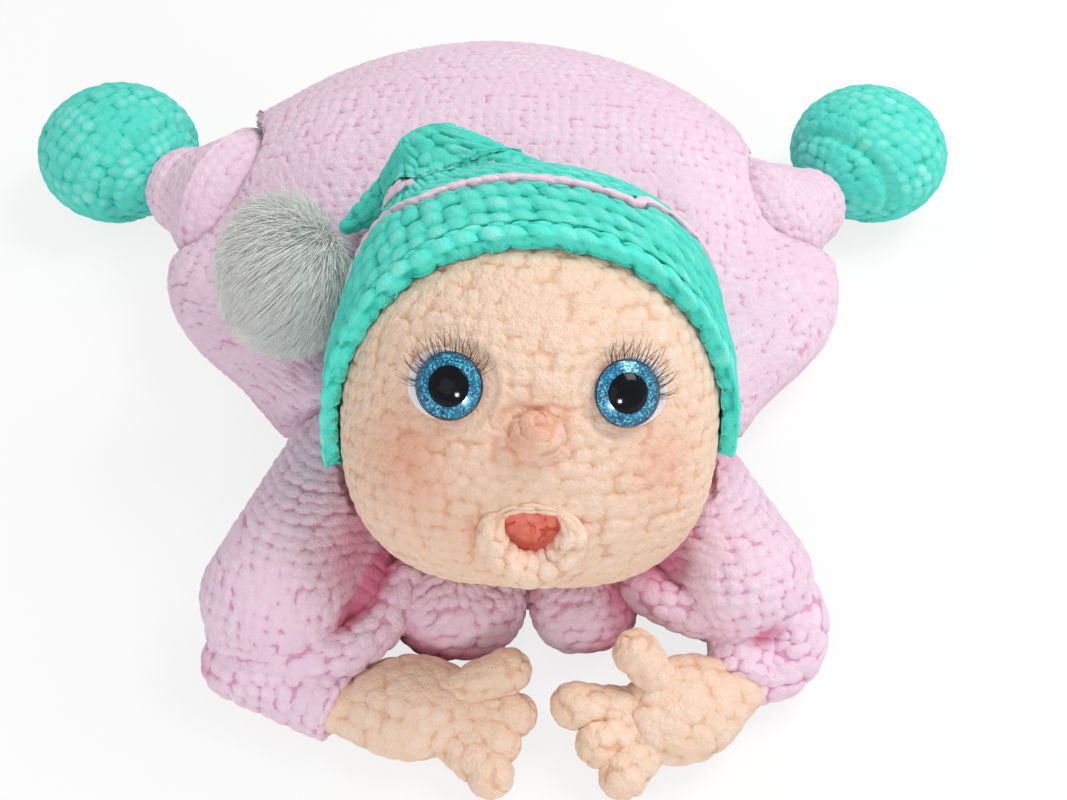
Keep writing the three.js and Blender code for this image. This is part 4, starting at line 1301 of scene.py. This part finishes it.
@dataclass(frozen=True)
class Face:
    """The stuffed head with its eye seats, mouth well, nose, lip ring and blush."""

    rows: int = 225
    columns: int = 390
    mouth_rise: float = 6.5

    def frame_at(
        self, azimuth: float, elevation: float, aim_share: float, sink: float = 0.0
    ) -> tuple[Array, Array]:
        """Axes on the face, in the head's own axes.

        Args:
            azimuth: Degrees from the middle of the face to its own +x side.
            elevation: Degrees above the head's middle.
            aim_share: How far the axis that points out of the skin is turned to the front, 0 to 1.
            sink: Distance below the skin.

        Returns:
            The place, and the three axes as columns.
        """

        def point(turn: float, rise: float) -> Array:
            """Point of the skin."""
            way = aimed(turn - 90.0, rise)
            return way * HEAD.radius(way)

        right = point(azimuth + 1.0, elevation) - point(azimuth - 1.0, elevation)
        up = point(azimuth, elevation + 1.0) - point(azimuth, elevation - 1.0)
        out = unit(np.cross(right, up))
        aim = unit(out + (np.array((0.0, -1.0, 0.0)) - out) * aim_share)
        side = unit(np.cross((0.0, 0.0, 1.0), aim))
        axes = np.stack([side, np.cross(aim, side), aim], -1)
        return point(azimuth, elevation) - aim * sink, axes

    def skin(self) -> Skin:
        """The head's grid about its own upright line, close-set on the face."""
        angle = np.linspace(-math.pi, math.pi, 721)[:-1]
        share = spread(self.columns + 1, np.where(np.abs(angle) < 1.9, 1.0, 0.22))[:-1]
        azimuth = share * 2.0 * math.pi - math.pi
        lift = np.linspace(0.0, math.pi, 400)
        polar = spread(self.rows, np.where((lift > 0.7) & (lift < 2.7), 1.0, 0.35)) * math.pi
        directions = unit(rays((0, 0, 1), (0, -1, 0), polar, azimuth))
        return Skin(directions * HEAD.radius(directions)[..., None])

    def seated(
        self, points: Array, place: Array, axes: Array, half: tuple[float, float], level: float
    ) -> Array:
        """Points near an axis, laid down to a level.

        Args:
            points: Points in the head's own axes.
            place: Where the axis stands.
            axes: Its three axes as columns.
            half: Half width and half height of the seat, past which the excess height fades out.
            level: The level, along the axis.

        Returns:
            The points.
        """
        own = (points - place) @ axes
        reach = np.hypot(own[..., 0] / half[0], own[..., 1] / half[1])
        excess = np.maximum(own[..., 2] - level, 0.0) * (1.0 - ease(reach, 1.0, 1.22))
        near = (own[..., 2] > -40.0)[..., None]
        return np.where(near, points - excess[..., None] * axes[:, 2], points)

    def folds(self) -> tuple[Fold, ...]:
        """A crease over the nose, one beside the mouth, and the tuck under the lower lip, with painted
        shade in the creases.
        """
        lines = (
            # Each line: places as azimuth and elevation, then width, height and the strength of its painted
            # shade.
            (((-11.5, 1.0), (-10.0, 3.5), (-6.0, 5.5), (0.0, 4.5)), 2.0, -1.6, 0.5),
            (((0.0, 4.5), (4.0, 6.0), (9.0, 4.5), (14.0, 6.0)), 1.8, -1.4, 0.55),
            (((-12.0, -5.0), (-12.5, -11.0)), 2.6, -2.0, 0.5),
            (((-19.0, -29.0), (-18.0, -36.0)), 3.2, -3.0, 0.45),
            (((-13.0, -22.0), (13.0, -21.0)), 3.0, -1.0, 0.1),
            (((-80.0, -72.0), (-40.0, -80.0), (0.0, -84.0), (40.0, -80.0), (80.0, -72.0)), 34.0, -5.5, 0.0),
        )
        made = []
        for line, width, height, painted_shade in lines:
            places = tuple(tuple(self.frame_at(azimuth, elevation, 0.0)[0]) for azimuth, elevation in line)
            made.append(Fold(places, width, height, painted_shade))
        return tuple(made)

    def build(self) -> None:
        """Head, nose and mouth."""
        base = self.skin()
        crochet = Crochet(
            width=8.0, height=7.0, loft=1.7, looseness=0.5, seed=51.0, fullness=0.64, overlap=0.3
        )
        stitched = base.crocheted(crochet, self.folds())
        points = stitched.points
        for sign in (-1.0, 1.0):
            place, axes = self.frame_at(sign * 26.5, 9.5, 0.35, 2.05)
            points = self.seated(points, place, axes, (19.5, 19.5), 0.0)
        place, axes = self.frame_at(0.0, -36.0, 0.35)
        middle = place + self.mouth_rise * axes[:, 1]
        points = self.seated(points, middle, axes, (12.5, 11.0), -9.3)
        marks = {**stitched.marks, "blush": self.blush(base.points)}
        build("head_yarn", [Skin(HEAD.placed(points), marks=marks)], SKIN, "head", ("head",))
        self.nose()
        self.lip(place, axes)
        self.lining(middle, axes)

    def blush(self, points: Array) -> Array:
        """Rosy cheeks and nose: e to minus the square of the distance over each patch's width."""
        patches = (
            (-38.0, -11.0, 24.0, 0.75), (38.0, -12.0, 21.0, 0.6),
            (0.0, -3.0, 17.0, 0.45), (-30.0, -30.0, 26.0, 0.25),
        )
        total = np.zeros(points.shape[:-1])
        for azimuth, elevation, width, depth in patches:
            place, _ = self.frame_at(azimuth, elevation, 0.0)
            total += depth * np.exp(-((np.linalg.norm(points - place, axis=-1) / width) ** 2))
        return np.clip(total, 0.0, 1.0)

    def worn(self, skin: Skin, place: Array, axes: Array) -> Skin:
        """A skin given in axes on the face, carried into the model."""
        return replace(skin, points=HEAD.placed(skin.points @ axes.T + place))

    def nose(self) -> None:
        """A small stuffed button."""
        place, axes = self.frame_at(0.0, -3.0, 0.0, -1.5)
        base = ball((0.0, 0.0, 0.0), (13.0, 11.5, 10.0), (0.2, 1.0, 0.3), 70, 90)
        crochet = Crochet(width=8.2, height=7.0, loft=1.9, looseness=0.6, seed=61.0, fullness=0.62)
        blush = 0.75 - 0.45 * ease(base[..., 0] - base[..., 1], -6.0, 10.0)
        skin = self.worn(Skin(base, marks={"blush": blush}).crocheted(crochet), place, axes)
        build("nose_yarn", [skin], SKIN, "head", ("nose",))

    def lip(self, place: Array, axes: Array) -> None:
        """A ring with a flat top, thin above and thick at the sides and below."""
        angle = around(190)
        cosine, sine = np.cos(angle), np.sin(angle)
        x = 18.0 * np.sign(cosine) * np.abs(cosine) ** 0.8 * (1.0 - 0.32 * ease(-sine, -0.2, 0.9))
        y = 3.8 + 15.2 * np.sign(sine) * np.abs(sine) ** 0.75
        thick = 8.0 - 5.2 * ease(sine, 0.1, 0.85) + 1.3 * ease(-sine, 0.0, 0.8)
        line = np.stack([x, y, 3.2 - 3.4 * ease(sine, 0.1, 0.9)], -1)
        out = unit(np.stack([x / 18.0, (y - 3.8) / 15.2, np.zeros_like(x)], -1))
        turn = around(60)
        ring = np.cos(turn)[:, None] * out[:, None, :] + np.sin(turn)[:, None] * np.array((0.0, 0.0, 1.0))
        points = line[:, None, :] + ring * thick[:, None, None]
        skin = Skin(points, False, True, {"blush": np.zeros(points.shape[:-1])})
        crochet = Crochet(width=10.0, height=8.6, loft=2.2, looseness=0.4, seed=71.0)
        skin = skin.crocheted(crochet, (), straight(line, np.full(len(line), 7.0), len(turn))[1:-1])
        build("lip_yarn", [self.worn(skin, place, axes)], SKIN, "head", ("lip_ring",))

    def lining(self, place: Array, axes: Array) -> None:
        """A shallow cup: an ellipsoid whose upper half is turned inwards."""
        cup = ball((0.0, 0.0, -2.5), (14.0, 13.5, 6.5), (0, 0, 1), 70, 100)
        cup[..., 2] = np.where(cup[..., 2] > -2.5, -2.5 - 0.72 * (cup[..., 2] + 2.5), cup[..., 2])
        skin = Skin(cup).crocheted(Crochet(width=6.6, height=6.0, loft=1.6, looseness=0.5, seed=81.0))
        build("mouth_yarn", [self.worn(skin, place, axes)], CORAL, "head", ("mouth_lining",))


@dataclass(frozen=True)
class Eye:
    """A safety eye: felt, lashes, glitter ring, pupil and clear dome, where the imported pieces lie."""

    side: Side
    fan: tuple[float, float]
    lash_count: int = 57

    def frame_of(self, node: str) -> tuple[Array, Array]:
        """Middle and axes of a flat round CAD node: the axis in which its points spread least points out.

        Args:
            node: The node's name.

        Returns:
            The middle in millimetres, and the three axes as columns.
        """
        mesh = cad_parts[node].data
        places = np.zeros(len(mesh.vertices) * 3, np.float32)
        mesh.vertices.foreach_get("co", places)
        points = places.reshape(-1, 3).astype(float) / MM
        middle = 0.5 * (points.min(0) + points.max(0))
        _, _, rows = np.linalg.svd(points - points.mean(0))
        out = rows[2] if rows[2] @ (points.mean(0) - np.array(HEAD.middle)) > 0.0 else -rows[2]
        aside = unit(np.cross(HEAD.frame()[:, 2], out))
        return middle, np.stack([aside, np.cross(out, aside), out], -1)

    def bow(self, reach: float, curve: float, top: float, count: int) -> list[tuple[float, float]]:
        """Profile of a round cap: curve times sine a, and the top less curve times one minus cosine a.

        Args:
            reach: Radius of the cap's edge.
            curve: Radius of the ball that it is cut from.
            top: Height of its middle.
            count: Points of the profile.

        Returns:
            Radius and height of each point, from the edge to the middle.
        """
        turns = np.linspace(math.asin(reach / curve), 0.0, count)
        return [(curve * math.sin(turn), top - curve * (1.0 - math.cos(turn))) for turn in turns]

    def turned(self, profile: list[tuple[float, float]], sides: int = 96) -> Array:
        """Solid of revolution: each radius and height carried round the axis."""
        radius, height = np.array(profile).T
        angle = around(sides)
        x, y = radius[:, None] * np.cos(angle), radius[:, None] * np.sin(angle)
        return np.stack([x, y, np.repeat(height[:, None], sides, 1)], -1)

    def build(self) -> None:
        """All visible pieces of the eye."""
        name = self.side.name
        middle, axes = self.frame_of(f"eye_{name}_iris")

        def add(part: str, points: Array, finish: Finish, node: str) -> None:
            """One piece, given in the eye's own axes."""
            skin = Skin(points @ axes.T + middle)
            build(f"eye_{name}_{part}_fine", [skin], finish, "head", (node,) if node else ())

        edge = [(14.4, -0.7), (15.5, -0.4), (15.7, 0.1), (15.3, 0.6), (14.4, 0.8)]
        felt = self.turned([(0, -0.7), *edge, (0, 0.8)])
        add("felt", felt + np.array((4.0 * self.side.sign, 0.9, -2.4)), FELT, f"eye_{name}_felt")
        iris = self.turned([(0, -0.4), (14.4, -0.4), (14.6, 0.0), (14.4, 0.4), (0, 0.4)])
        add("iris", iris, GLITTER, f"eye_{name}_iris")
        edge = [(14.9, -0.9), (15.3, -0.2), (15.2, 0.6), (14.8, 0.7), (14.6, -0.5)]
        add("rim", self.turned([(0, -0.9), *edge, (0, -0.5)]), RIM, "")
        pupil = self.turned([(0, 0.5), (8.9, 0.5), (9.2, 0.7), *self.bow(9.2, 16.5, 4.0, 16)])
        add("pupil", pupil, BLACK, f"eye_{name}_pupil")
        arc = [(radius, max(height, 1.3)) for radius, height in self.bow(14.7, 18.75, 8.1, 26)]
        add("dome", self.turned([(0.0, 1.3), (14.6, 1.3), *arc]), CLEAR, f"eye_{name}_dome")
        self.lashes(middle, axes)
        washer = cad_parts[f"eye_{name}_washer"]
        washer.material_slots[0].material = bpy.data.materials.get(WHITE.name) or WHITE.material()

    def lashes(self, middle: Array, axes: Array) -> None:
        """Fine hairs fan out from under the ring in loose tufts of three, and bend back as they taper."""
        number = np.arange(float(self.lash_count))
        tuft = np.floor(number / 3.0)
        share = (tuft + 0.5) / (tuft[-1] + 1.0)
        jitter = chance(number, tuft, 3.0) - 0.5
        start, end = self.fan
        angle = np.radians(start + (end - start) * share + 8.0 * jitter)
        uneven = 0.6 + 0.4 * chance(number, 2.0 * number, 5.0)
        length = 12.5 * uneven * (0.62 + 0.38 * np.sin(math.pi * (share * 0.8 + 0.1)))
        along = np.linspace(0.0, 1.0, 9)
        skins = []
        for turn, reach, lean in zip(angle, length, jitter):
            bent = turn + (0.3 * lean - 0.2 * np.clip(turn - 1.2, -1.0, 1.0)) * along**1.6
            radius = 13.8 + (reach + 1.2) * along
            x, y = self.side.sign * radius * np.cos(bent), radius * np.sin(bent)
            path = np.stack([x, y, -1.2 + 4.5 * along**1.7], -1)
            skins.append(Skin(tube(path, 0.15 * (1.0 - along**2.0) + 0.02, 5) @ axes.T + middle))
        build(f"eye_{self.side.name}_lash_hairs", skins, LASH, "head", (f"eye_{self.side.name}_lashes",))


@dataclass
class Hat:
    """Knitted cap with a ribbed brim, two pink stripes and a folded tail, in the head's own axes."""

    thickness: float = 9.0
    lift: float = 9.0
    edging: float = 12.0
    band: float = 40.0
    stripe: float = 7.0
    columns: int = 420
    rows: int = 260
    balls: tuple[tuple[Point, float], ...] = (
        ((-42.3, 46.4, 72.2), 44.9), ((-57.0, 65.0, 108.7), 18.7),
        ((-72.9, 94.6, 91.7), 14.0), ((-88.6, 86.7, 80.4), 9.35),
    )
    tie: Point = (-84.7, 25.7, 126.1)
    flap: Limb = Limb((-46.0, 60.0, 113.0), (2.0, 22.0, 97.0), 17.5, 15.0)

    def __post_init__(self) -> None:
        """Lays the cap's outside: rows from the edge to the pole, which lies at the tail."""
        self.cone = Limb(self.balls[0][0], self.balls[1][0], self.balls[0][1], self.balls[1][1])
        self.axis = unit(np.array(self.cone.end) - np.array(self.cone.start))
        self.middle = 0.5 * (np.array(self.cone.end) + np.array(self.cone.start))
        self.pole = unit(np.array(self.balls[1][0]))
        azimuth = around(self.columns)
        polar = np.linspace(1.0, 0.0, self.rows)[:, None] * self.edge(azimuth)[None, :]
        directions = self.ring(polar, azimuth[None, :])
        self.points = directions * self.reach(directions)[..., None]
        steps = np.linalg.norm(np.diff(self.points, axis=0), axis=-1)
        self.distance = np.vstack([np.zeros((1, self.columns)), np.cumsum(steps, 0)])

    def reach(self, directions: Array) -> Array:
        """Distance to the cap's outside: over the head, looser on top, or the tail if further."""
        bare = HEAD.radius(directions)
        behind = brim_depth(directions * bare[..., None])
        worn = ease(behind, -2.0, 30.0) * (1.0 - ease(behind, 50.0, 110.0))
        loose = worn * ease(directions[..., 2], 0.35, 0.8)
        outer = star((self.cone, self.flap), 8.0, np.zeros(3), directions * 170.0, 1.0, (), True)
        return -soft_low(-bare - self.thickness - self.lift * loose, -np.linalg.norm(outer, axis=-1), 6.0)

    def edge(self, azimuth: Array) -> Array:
        """Angle from the pole at which the cap ends, by halving; higher at the right cheek."""
        low, high = np.full(len(azimuth), 0.3), np.full(len(azimuth), 2.9)
        for _ in range(24):
            middle = 0.5 * (low + high)
            directions = self.ring(middle, azimuth)
            places = directions * HEAD.radius(directions)[..., None]
            above = nape_height(places) - 14.0 * ease(places[..., 0], 20.0, 85.0)
            inside = soft_low(brim_depth(places), above, 14.0) > 0.0
            low, high = np.where(inside, middle, low), np.where(inside, high, middle)
        return low

    def ring(self, polar: Array, azimuth: Array) -> Array:
        """Directions at a polar angle for each azimuth about the pole."""
        front = np.array((0.0, -1.0, 0.0))
        side = unit(front - self.pole * (self.pole @ front))
        cross = np.cross(self.pole, side)
        ring = np.cos(azimuth)[..., None] * side + np.sin(azimuth)[..., None] * cross
        return np.cos(polar)[..., None] * self.pole + np.sin(polar)[..., None] * ring

    def at(self, distance: Array) -> Array:
        """Point of each column at its own distance from the edge, between the two nearest rows."""
        index = np.clip((self.distance < distance).sum(0) - 1, 0, self.rows - 2)
        column = np.arange(self.columns)
        low, high = self.distance[index, column], self.distance[index + 1, column]
        share = np.clip((distance - low) / np.maximum(high - low, 1e-6), 0.0, 1.0)[:, None]
        return self.points[index, column] * (1.0 - share) + self.points[index + 1, column] * share

    def crossing(self, height: float) -> Array:
        """Distance from the edge at which each column passes a height along the tail."""
        along = (self.points - self.middle) @ self.axis
        index = np.clip((along < height).sum(0), 1, self.rows - 1)
        column = np.arange(self.columns)
        low, high = along[index - 1, column], along[index, column]
        share = np.clip((height - low) / np.maximum(high - low, 1e-6), 0.0, 1.0)
        return self.distance[index - 1, column] * (1.0 - share) + self.distance[index, column] * share

    def shell(
        self, start: Array, end: Array, rows: int, round_off: float = 2.5, bulge: float = 0.0,
        sunk: Array | float = 0.0,
    ) -> Array:
        """Closed shell between two distances from the edge, with rounded rims.

        Args:
            start: Distance of the lower rim, for each column.
            end: Distance of the upper rim.
            rows: Rows of the outside, one more than a multiple of 3: the inside has a third of them.
            round_off: How far the rims draw in.
            bulge: How far the middle stands out.
            sunk: How far each column lies below the cap's outside.

        Returns:
            The outside and then the inside, as one ring of rows.
        """
        steps = np.linspace(0.0, 1.0, rows)
        outer = np.stack([self.at(start + (end - start) * step) for step in steps])
        way = unit(outer)
        deep = np.minimum(np.linalg.norm(outer, axis=-1) - HEAD.radius(way) - 0.35, 14.0)
        profile = np.sqrt(np.maximum(1.0 - (2.0 * steps - 1.0) ** 8, 0.0))[:, None]
        raised = bulge * np.sin(math.pi * steps)[:, None]
        drop = np.minimum(deep * 0.8, round_off) * (1.0 - profile) - raised + sunk
        return np.concatenate([outer - way * drop[..., None], (outer - way * deep[..., None])[::-3]])

    def wrap(
        self, name: str, shell: Array, crochet: Crochet, finish: Finish, nodes: tuple[str, ...]
    ) -> None:
        """Crochets a closed shell and builds it on the head."""
        skin = Skin(shell, capped=False, ringed=True).crocheted(crochet)
        build(name, [replace(skin, points=HEAD.placed(skin.points))], finish, "head", nodes)

    def build(self) -> None:
        """Brim, stripe, crown, tail stripe and tail."""
        even = np.ones(self.columns)
        edge = Crochet(width=11.0, height=12.0, loft=4.0, seed=92.0, overlap=0.0)
        rim = self.shell(0.0 * even, self.edging * even, 25, 3.0, 1.5)
        self.wrap("brim_edge", rim, edge, EDGE, ())
        across = self.at((self.band + 0.5 * self.stripe) * even)[:, 0]
        back = 17.0 * (1.0 - ease(across, -80.0, -56.0) * (1.0 - ease(across, 40.0, 64.0)))
        band_end, stripe_end = self.band + back, self.band + self.stripe + back
        ribs = Crochet(width=10.4, height=9.2, loft=3.8, lean=0.0, seed=91.0, weave=Weave.RIBBED)
        self.wrap("brim_ribs", self.shell(10.5 * even, band_end, 70), ribs, MINT, ("hat_band",))
        pink = Crochet(width=8.0, height=7.4, loft=1.8, seed=93.0)
        stripe = self.shell(band_end, stripe_end, 16, 2.5, 1.0)
        self.wrap("hat_stripe_yarn", stripe, pink, HAT_PINK, ("hat_stripe",))
        own = self.at(self.crossing(4.0)) - self.middle
        shown = np.maximum(np.maximum(ease(-own[:, 0], 8.0, 22.0), ease(own[:, 1], 0.0, 18.0)), 0.02)
        sunk = 4.0 * (1.0 - ease(shown, 0.02, 0.3))
        low = self.crossing(0.3)
        high = low + (self.crossing(9.0) - low) * shown
        crown = Crochet(width=9.0, height=8.4, loft=2.4, seed=94.0)
        dome = self.shell(stripe_end, low + 5.0 * (1.0 - shown), 130, 1.0)
        self.wrap("crown_yarn", dome, crown, MINT, ("hat_crown",))
        ring = self.shell(low, high, 13, 1.0, 0.8, sunk)
        self.wrap("tail_stripe_yarn", ring, pink, HAT_PINK, ("hat_tail_stripe",))
        self.tail(high)

    def tail(self, start: Array) -> None:
        """The cone's top beyond its stripe, and the tube in which it folds down to the tie."""
        last = self.distance[-1]
        outer = np.stack([self.at(start + (last - start) * step) for step in np.linspace(0.0, 1.0, 64)])
        inner = np.repeat((outer[:1].mean(1, keepdims=True) + self.middle) * 0.5, self.columns, 1)
        crochet = Crochet(width=9.0, height=8.4, loft=2.4, seed=95.0)
        top = Skin(np.concatenate([inner, outer])).crocheted(crochet)
        places = np.array([place for place, _ in self.balls[1:]] + [HEAD.own(np.array(self.tie))])
        radii = np.array([radius for _, radius in self.balls[1:]] + [4.5])
        path, radius = smooth_path(places, radii, 100)
        crochet = Crochet(width=8.6, height=8.0, loft=2.2, seed=96.0)
        fold = Skin(tube(path, radius, 130)).crocheted(crochet, (), straight(path, radius, 130))
        skins = [replace(skin, points=HEAD.placed(skin.points)) for skin in (top, fold)]
        build("tail_yarn", skins, MINT, "head", ("hat_tail",))


@dataclass(frozen=True)
class Pompom:
    """Fur ball tied to the tail's tip, its hair combed away from the tie."""

    middle: Point = (-116.5, 3.0, 113.0)
    tie: Point = (-84.7, 25.7, 126.1)
    half: Point = (38.0, 45.0, 46.0)
    strands: int = 12600

    def build(self) -> None:
        """A soft core under strands that start near the tie's side and follow the ball's skin outwards."""
        middle, half = np.array(self.middle), np.array(self.half)
        pole = unit(np.array(self.tie) - middle)
        core = ball(self.middle, tuple(0.8 * half), pole, 50, 70)
        marks = {"tip": np.full(core.shape[:-1], 0.7), "tone": np.full(core.shape[:-1], 0.3)}
        build("pompom_core", [Skin(core, marks=marks)], FUR, "pompom", ("pompom",))
        number = np.arange(float(self.strands))
        height = 1.0 - 1.85 * (number + 0.5) / self.strands
        start = np.arccos(height)
        turn = number * math.pi * (3.0 - math.sqrt(5.0))
        loose = [chance(number, number * k, 2.0 + k) for k in (1.0, 2.0, 3.0)]
        side = unit(np.cross(pole, (0.3, 0.2, 0.9)))
        cross = np.cross(pole, side)
        out = np.cos(turn)[:, None] * side + np.sin(turn)[:, None] * cross
        along = np.linspace(0.0, 1.0, 5)
        sweep = (0.22 + 0.5 * loose[0]) * np.minimum(1.0, 0.3 + (math.pi - start))
        polar = start[:, None] + sweep[:, None] * along
        length, curl = 0.28 * (0.6 + 0.5 * loose[1]), 0.16 * (loose[2] - 0.45)
        grown = 0.72 + length[:, None] * along + curl[:, None] * along**2
        way = np.cos(polar)[..., None] * pole + np.sin(polar)[..., None] * out[:, None, :]
        paths = middle + way * grown[..., None] * half
        for part in (0, 1, 2):
            skins = []
            for path, tone in zip(paths[part::3], loose[2][part::3]):
                grid = tube(path, 0.46 * (1.0 - along) ** 0.7 + 0.03, 3)
                tip = np.repeat(np.concatenate([[0.0], along, [1.0]])[:, None], 3, 1)
                skins.append(Skin(grid, marks={"tip": tip, "tone": np.full(tip.shape, float(tone))}))
            build(f"pompom_fur_{part + 1}", skins, FUR, "pompom")
        knot = ball(self.tie, (4.3,) * 3, (0, 0, 1), 20, 28)
        marks = {"stitch": np.full(knot.shape[:-1], 0.7), "tone": np.full(knot.shape[:-1], 0.5)}
        build("tie_yarn", [Skin(knot, marks=marks)], MINT, "head", ("pompom_tie",))


@dataclass(frozen=True)
class Studio:
    """Pale floor, soft lamps and the camera at the photograph's angle."""

    camera_place: Point = (-15.5, -544.6, 659.4)
    azimuth: float = -3.5
    elevation: float = 50.0
    roll: float = 2.0
    lens: float = 48.25
    glow: float = 0.8
    sky: float = 0.52
    floor_size: float = 6.0
    floor_level: float = -0.0005

    def floor(self) -> None:
        """A wide white floor that keeps the shadow."""
        mesh = bpy.data.meshes.new("floor")
        size, level = self.floor_size, self.floor_level
        places = [(x * size, y * size, level) for x, y in ((-1, -1), (1, -1), (1, 1), (-1, 1))]
        mesh.from_pydata(places, [], [(0, 1, 2, 3)])
        piece = bpy.data.objects.new("floor", mesh)
        bpy.context.scene.collection.objects.link(piece)
        piece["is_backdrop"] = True
        board = Board("floor paper")
        path = board.add("ShaderNodeLightPath", {}, {}, "Is Camera Ray")
        plain = board.add("ShaderNodeBsdfDiffuse", {}, {"Color": (0.9, 0.9, 0.9, 1.0)})
        glow = board.add("ShaderNodeEmission", {}, {"Color": (1.0, 1.0, 1.0, 1.0), "Strength": 1.0})
        shown = board.add("ShaderNodeMixShader", {}, {0: path * self.glow, 1: plain, 2: glow})
        mesh.materials.append(board.finish(shown))

    def world(self) -> None:
        """Even white light from all round."""
        world = bpy.data.worlds.new("studio")
        world.use_nodes = True
        background = world.node_tree.nodes["Background"]
        background.inputs[0].default_value = (1.0, 1.0, 1.0, 1.0)
        background.inputs[1].default_value = self.sky
        bpy.context.scene.world = world

    def lamp(self, name: str, place: Point, target: Point, size: float, power: float) -> bpy.types.Object:
        """A square soft lamp, in metres and watts, aimed at a point."""
        data = bpy.data.lights.new(name, "AREA")
        data.shape, data.size, data.energy = "SQUARE", size, power
        piece = bpy.data.objects.new(name, data)
        piece.location = place
        piece.rotation_euler = (Vector(target) - Vector(place)).to_track_quat("-Z", "Y").to_euler()
        bpy.context.scene.collection.objects.link(piece)
        return piece

    def camera(self) -> None:
        """The camera: its axes from the azimuth, elevation and roll."""
        a, e, r = (math.radians(angle) for angle in (self.azimuth, self.elevation, self.roll))
        back = Vector((math.sin(a) * math.cos(e), -math.cos(a) * math.cos(e), math.sin(e)))
        level = Vector((math.cos(a), math.sin(a), 0.0))
        upright = level.cross(-back)
        right = math.cos(r) * level + math.sin(r) * upright
        up = math.cos(r) * upright - math.sin(r) * level
        data = bpy.data.cameras.new("camera")
        data.lens, data.sensor_width, data.sensor_fit = self.lens, 36.0, "HORIZONTAL"
        data.clip_start, data.clip_end = 0.02, 50.0
        piece = bpy.data.objects.new("camera", data)
        turn = Matrix((right, up, back)).transposed().to_4x4()
        piece.matrix_world = Matrix.Translation(Vector(self.camera_place) * MM) @ turn
        bpy.context.scene.collection.objects.link(piece)
        bpy.context.scene.camera = piece

    def build(self) -> None:
        """Floor, light and camera."""
        self.floor()
        self.world()
        self.lamp("key lamp", (0.95, 0.4, 1.6), (0.0, 0.0, 0.0), 0.9, 19.0)
        self.lamp("fill lamp", (-0.9, -1.2, 1.3), (0.0, 0.0, 0.05), 1.4, 4.0)
        self.lamp("window lamp", (0.1, -2.1, 0.85), (0.0, -0.15, 0.15), 0.3, 8.0)
        glint = self.lamp("glint lamp", (0.08, -2.1, 0.9), (0.0, -0.15, 0.15), 0.34, 24.0)
        glint.visible_diffuse = False
        self.camera()
        bpy.context.scene.view_settings.view_transform = "Standard"


def corners() -> list[list[float]]:
    """Lowest and highest corner of what is shown, as plain numbers."""
    return [[float(value) for value in corner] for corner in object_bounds()]


def main() -> None:
    """Builds the doll in order."""
    logging.basicConfig(level=logging.INFO, format="%(message)s", stream=sys.stdout)
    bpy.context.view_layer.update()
    Studio().build()
    Romper().build((LEFT, RIGHT))
    for arm in (LEFT_ARM, RIGHT_ARM):
        arm.build()
    for side in (LEFT, RIGHT):
        Leg(side).build()
    Face().build()
    Eye(LEFT, (-8.0, 158.0)).build()
    Eye(RIGHT, (-12.0, 124.0)).build()
    Hat().build()
    Pompom().build()


if __name__ == "__main__":
    main()
